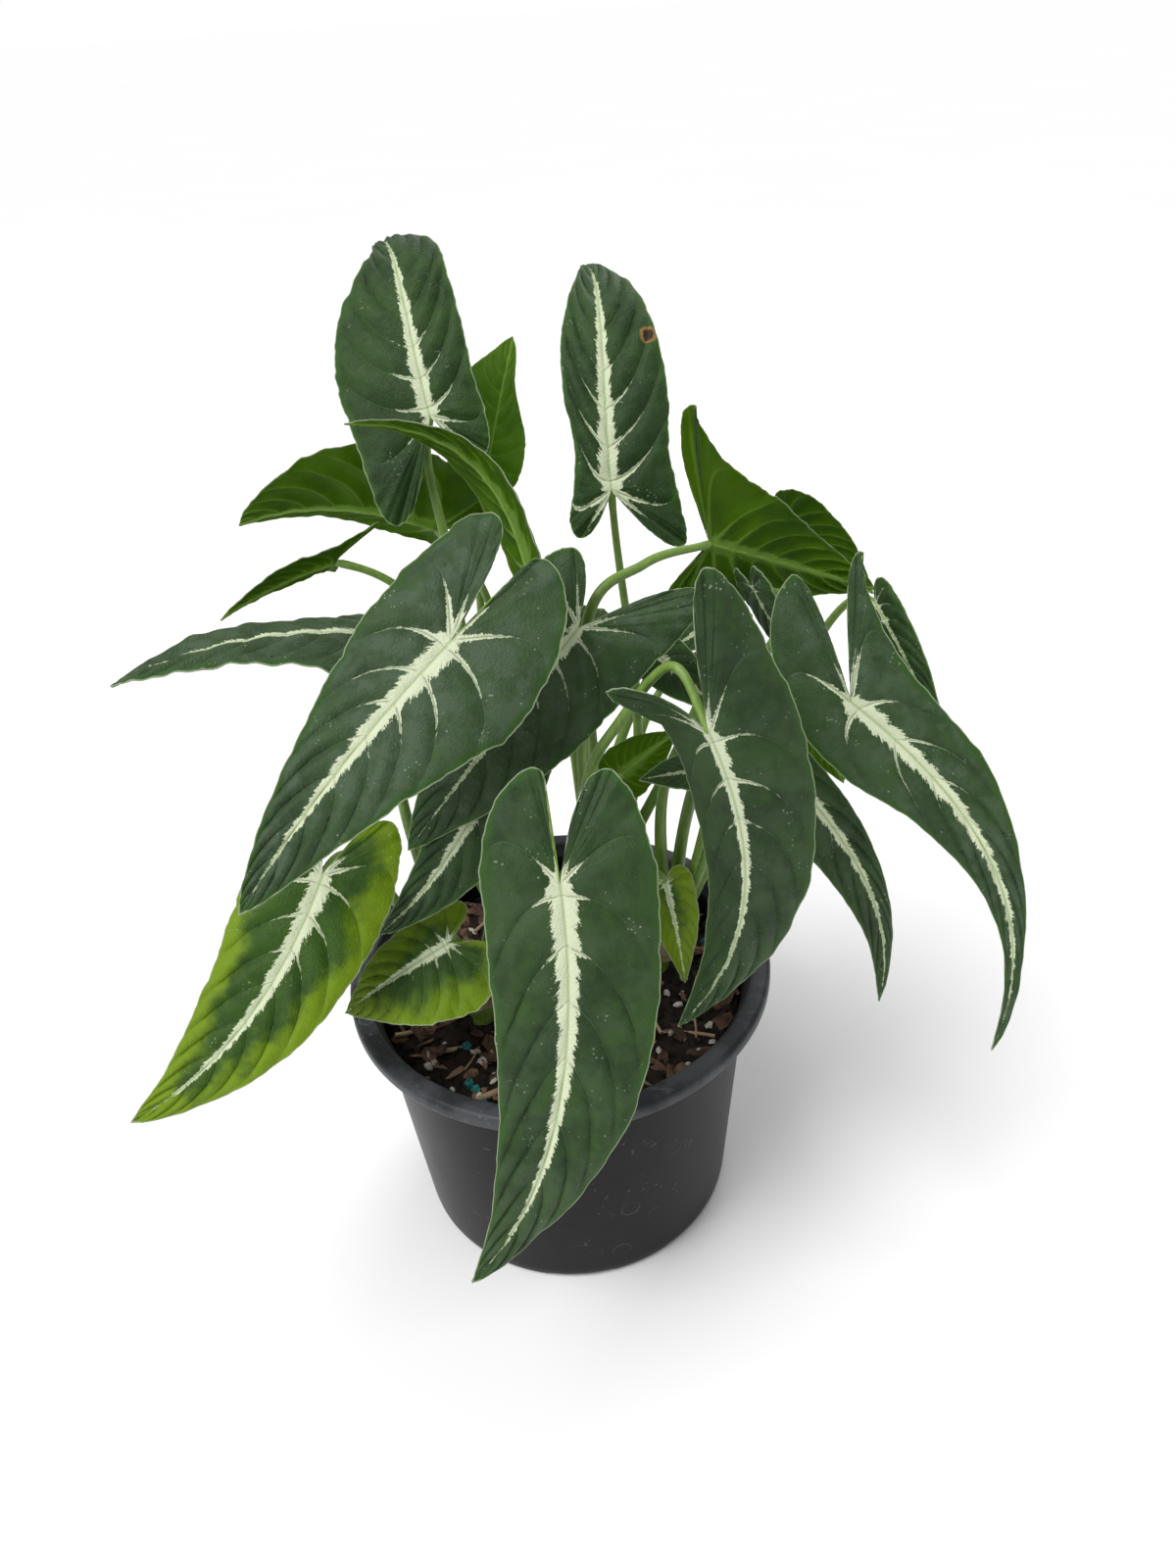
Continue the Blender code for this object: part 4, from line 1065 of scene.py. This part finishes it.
def pot_side(groups):
    """Black moulded plastic: faint blotches, a painted highlight in grey along the rim's top, dust, water marks and
    fine scratches.
    """
    def build(sheet, shader):
        place = sheet.where()
        black, cloud = sheet.group(groups["mottle"], (0.003, 0.003, 0.004), (0.012, 0.010, 0.010), 14.0, 0.9)[:2]
        high = sheet.node("SeparateXYZ", place).outputs[2]
        # Painted highlight: the rim's top, above 85.2 mm, is lightened to grey in noise patches, standing in for the
        # light it catches.
        rim = sheet.step(high, 0.0852, 0.0858)
        worn = sheet.step(sheet.noise(place, 55.0, 4.0, 0.65), 0.42, 0.62)
        black = sheet.mix(sheet.math("MULTIPLY", rim, sheet.math("ADD", sheet.math("MULTIPLY", worn, 0.6), 0.4)),
                          black, (0.060, 0.064, 0.070))
        dust = sheet.group(groups["specks"], 420.0, 0.3)[0]
        colour = sheet.mix(sheet.math("MULTIPLY", dust, 0.4), black, (0.16, 0.15, 0.14))
        wet = sheet.math("ABSOLUTE", sheet.math("SUBTRACT", sheet.cells(place, 95.0), 0.28))
        gate = sheet.step(sheet.noise(place, 28.0, 2.0), 0.58, 0.7)
        ring = sheet.math("MULTIPLY", sheet.step(wet, 0.035, 0.01), gate)
        colour = sheet.mix(sheet.math("MULTIPLY", ring, 0.45), colour, (0.14, 0.14, 0.15))
        long = sheet.node("Mapping", place, None, (0.3, 0.2, 0.5), (40.0, 260.0, 700.0)).outputs[0]
        scratch = sheet.step(sheet.noise(long, 1.0, 2.0), 0.70, 0.76)
        colour = sheet.mix(sheet.math("MULTIPLY", scratch, 0.45), colour, (0.14, 0.14, 0.15))
        sheet.feed(shader.inputs["Base Color"], colour)
        rough_value = sheet.math("ADD", 0.24, sheet.math("MULTIPLY", cloud, 0.26))
        rough_value = sheet.math("ADD", rough_value, sheet.math("MULTIPLY", sheet.math("ADD", dust, scratch), 0.2))
        sheet.feed(shader.inputs["Roughness"], rough_value)
        grain = sheet.noise(place, 900.0, 2.0)
        bump(sheet, shader, sheet.math("ADD", grain, sheet.math("MULTIPLY", cloud, 2.0)), 0.0001, 0.35)
    return build


def crumb_side(groups, light, dark, size, bumpy=0.0006):
    """Soil, bark and straw: two tones in blotches, and a shade of its own per bit."""
    def build(sheet, shader):
        tone, cloud = sheet.group(groups["mottle"], light, dark, size, 1.0)[:2]
        shade = sheet.step(sheet.kept("shade"), 0.0, 1.0, 0.0, 0.7)
        colour = sheet.mix(shade, tone, dark)
        sheet.feed(shader.inputs["Base Color"], colour)
        sheet.feed(shader.inputs["Roughness"], sheet.math("ADD", 0.6, sheet.math("MULTIPLY", cloud, 0.4)))
        fine = sheet.noise(sheet.where(), size * 9, 4.0, 0.65)
        bump(sheet, shader, fine, bumpy, 0.7)
    return build


def make_finishes():
    groups = {
        "mottle": effect("blotched_tone", [("Light", "Color", (0.5, 0.5, 0.5, 1)), ("Dark", "Color", (0, 0, 0, 1)),
                                           ("Size", "Float", 40.0), ("Strength", "Float", 1.0)],
                         [("Tone", "Color"), ("Cloud", "Float")], build_mottle),
        "specks": effect("scattered_specks", [("Size", "Float", 400.0), ("Amount", "Float", 0.3)],
                         [("Mask", "Float")], build_specks),
        "veins": effect("blade_veins", [("Barbs", "Float", 5.0)],
                        [("Line", "Float"), ("Rib", "Float"), ("Pale", "Float")], build_veins),
    }
    silver = (0.66, 0.72, 0.51)
    # The underside's yellow green is partly its own paler colour and partly painted light coming through the blade.
    under = finish("leaf_underside", lower_side(groups, (0.034, 0.092, 0.001), (0.085, 0.190, 0.001),
                                                (0.34, 0.62, 0.004), 0.4), Specular_IOR_Level=0.15)
    return {
        # The third colour of each upper side is the grey-green of its painted sky sheen.
        "dark": finish("leaf_dark_green", upper_side(groups, (0.009, 0.026, 0.005), (0.030, 0.074, 0.012),
                       (0.060, 0.098, 0.052), (0.03, 0.085, 0.012), silver, (0.06, 0.17, 0.006), 2.0),
                       Sheen_Weight=0.06, Sheen_Roughness=0.5, Specular_IOR_Level=0.22),
        "fresh": finish("leaf_fresh_green", upper_side(groups, (0.010, 0.034, 0.002), (0.030, 0.085, 0.003),
                        (0.045, 0.10, 0.012), (0.16, 0.26, 0.002), silver, (0.15, 0.32, 0.002), 9.0),
                        Sheen_Weight=0.06, Specular_IOR_Level=0.25),
        # lit: a lower-side finish put on an upper side, its lighter yellow green painted for a blade lit from behind.
        "lit": finish("leaf_backlit_painted_green", lower_side(groups, (0.03, 0.085, 0.003), (0.10, 0.20, 0.012),
                      (0.30, 0.52, 0.02), 0.35), Specular_IOR_Level=0.2),
        "under": under,
        "stalk": finish("stalk_green", stalk_side(groups), Specular_IOR_Level=0.4),
        "pot": finish("pot_plastic", pot_side(groups), Specular_IOR_Level=0.12),
        "soil": finish("soil_dark", crumb_side(groups, (0.020, 0.012, 0.008), (0.003, 0.002, 0.0015), 260.0),
                       Specular_IOR_Level=0.2),
        "bark": finish("bark_brown", crumb_side(groups, (0.21, 0.115, 0.068), (0.030, 0.015, 0.009), 220.0),
                       Specular_IOR_Level=0.3),
        "wood": finish("wood_tan", crumb_side(groups, (0.33, 0.20, 0.12), (0.10, 0.055, 0.03), 260.0)),
        "straw": finish("straw_pale", crumb_side(groups, (0.42, 0.31, 0.19), (0.20, 0.12, 0.07), 300.0, 0.0003)),
        "perlite": finish("perlite_white", crumb_side(groups, (0.68, 0.65, 0.60), (0.42, 0.36, 0.30), 500.0)),
        "bead": finish("fertiliser_green", crumb_side(groups, (0.01, 0.22, 0.19), (0.005, 0.09, 0.10), 400.0, 0.0001)),
        "sheath": finish("sheath_dry", crumb_side(groups, (0.45, 0.38, 0.25), (0.22, 0.17, 0.08), 180.0, 0.0002)),
    }


# Floor, light and camera

def make_floor():
    """A pale floor: a wide disc with a faint cloud in its tone."""
    def build(sheet, shader):
        cloud = sheet.noise(sheet.where(), 3.0, 2.0)
        sheet.feed(shader.inputs["Base Color"], sheet.mix(cloud, (0.89, 0.89, 0.89), (0.91, 0.91, 0.91)))
    angle = np.linspace(0, 2 * math.pi, 96, endpoint=False)
    points = np.stack([40000 * np.cos(angle), 40000 * np.sin(angle), 0 * angle], -1)
    points = np.concatenate([points, [[0, 0, 0]]])
    ring = np.arange(96)
    faces = np.stack([ring, (ring + 1) % 96, np.full(96, 96)], -1)
    floor = piece("floor", points, faces, [finish("floor_pale", build, Roughness=1.0, Specular_IOR_Level=0.0)])
    floor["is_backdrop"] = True


def area_light(name, place, target, size, power, tint=(1, 1, 1)):
    light = bpy.data.lights.new(name, "AREA")
    light.shape = "RECTANGLE"
    light.size, light.size_y = size
    light.energy = power
    light.color = tint
    made = bpy.data.objects.new(name, light)
    bpy.context.scene.collection.objects.link(made)
    made.location = place
    made.rotation_mode = "QUATERNION"
    made.rotation_quaternion = (Vector(target) - Vector(place)).to_track_quat("-Z", "Y")


def make_light():
    """A wide soft sun from above, in front and to the left, two side panels and a white surround."""
    sun = bpy.data.lights.new("sky_light", "SUN")
    sun.energy = 2.3
    sun.angle = math.radians(35)
    made = bpy.data.objects.new("sky_light", sun)
    bpy.context.scene.collection.objects.link(made)
    made.rotation_euler = (math.radians(16), math.radians(-22), 0)
    middle = (0.0, 0.0, 0.14)
    area_light("left_light", (-0.9, -0.7, 0.75), middle, (0.7, 0.7), 3)
    area_light("back_light", (0.4, 0.9, 0.9), middle, (0.7, 0.7), 4)
    world = bpy.data.worlds.new("studio")
    world.use_nodes = True
    sheet = Sheet(world.node_tree)
    surround = world.node_tree.nodes["Background"]
    sheet.feed(surround.inputs["Color"], (1.0, 1.0, 1.0))
    seen = sheet.node("LightPath").outputs["Is Camera Ray"]
    sheet.feed(surround.inputs["Strength"], sheet.math("ADD", sheet.math("MULTIPLY", seen, 0.55), 0.45))
    bpy.context.scene.world = world
    bpy.context.scene.view_settings.view_transform = "Standard"


def make_camera():
    camera = bpy.data.cameras.new("camera")
    camera.sensor_width = 36.0
    camera.lens = 27.02
    camera.clip_start = 0.01
    made = bpy.data.objects.new("camera", camera)
    bpy.context.scene.collection.objects.link(made)
    right, up = Vector((0.9976, -0.0388, -0.0580)), Vector((0.0698, 0.5549, 0.8290))
    back = right.cross(up)
    made.matrix_world = Matrix.Translation((0.0127, -0.2747, 0.3376)) @ Matrix((right, up, back)).transposed().to_4x4()
    bpy.context.scene.camera = made


def main():
    finishes = make_finishes()
    for seed, spec in enumerate(LEAVES):
        blade = make_blade(spec, seed + 1, [finishes[spec["look"]], finishes["under"]])
        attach(blade, "root")
        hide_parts(spec["name"])
    for s in STEMS:
        stalks = make_stem(s, finishes["stalk"])
        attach(stalks, "root")
        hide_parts(s["name"])
    pot = make_pot(finishes["pot"])
    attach(pot, "root")
    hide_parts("pot")
    soil = make_soil(finishes["soil"])
    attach(soil, "root")
    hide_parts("soil")
    rng = np.random.default_rng(21)
    chip, chip_faces = ball(4, 7)
    chip = chip * (1, 1, 0.8)
    grain, grain_faces = ball(5, 7)
    bead, bead_faces = ball(9, 14)
    bits = [
        scatter("bark_chips", rng, chip, chip_faces, free_places(rng, 150, 54), ((2.0, 6.5), (1.2, 3.2), (0.6, 1.4)),
                0.5, finishes["bark"], 0.35),
        scatter("wood_chips", rng, chip, chip_faces, free_places(rng, 90, 54), ((1.5, 5.0), (0.6, 1.6), (0.4, 0.9)),
                0.6, finishes["wood"], 0.4),
        scatter("dark_crumbs", rng, chip, chip_faces, free_places(rng, 620, 55), ((0.5, 1.8), (0.5, 1.5), (0.4, 1.0)),
                0.2, finishes["soil"], 0.6),
        scatter("perlite_grains", rng, grain, grain_faces, free_places(rng, 110, 54), ((0.6, 1.9), (0.6, 1.6), (0.5, 1.3)),
                0.5, finishes["perlite"], 0.6),
        make_straws(finishes["straw"]),
    ]
    near = [(-27.5, -39, 0), (-25.5, -41.5, 0), (-23, -51, 0), (-17, -52.5, 0), (-23.5, -46, 0)]
    more = free_places(rng, 14, 52)
    beads_x = np.concatenate([[p[0] for p in near], more[0]])
    beads_y = np.concatenate([[p[1] for p in near], more[1]])
    bits.append(scatter("fertiliser_beads", np.random.default_rng(2), bead, bead_faces, (beads_x, beads_y),
                        ((1.3, 1.5), (1.3, 1.5), (1.3, 1.5)), 0.5, finishes["bead"], 0.1))
    sheaths = make_sheaths(finishes["sheath"])
    for bit in bits:
        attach(bit, "root")
    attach(sheaths, "root")
    make_floor()
    make_light()
    make_camera()


main()
shown_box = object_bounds()
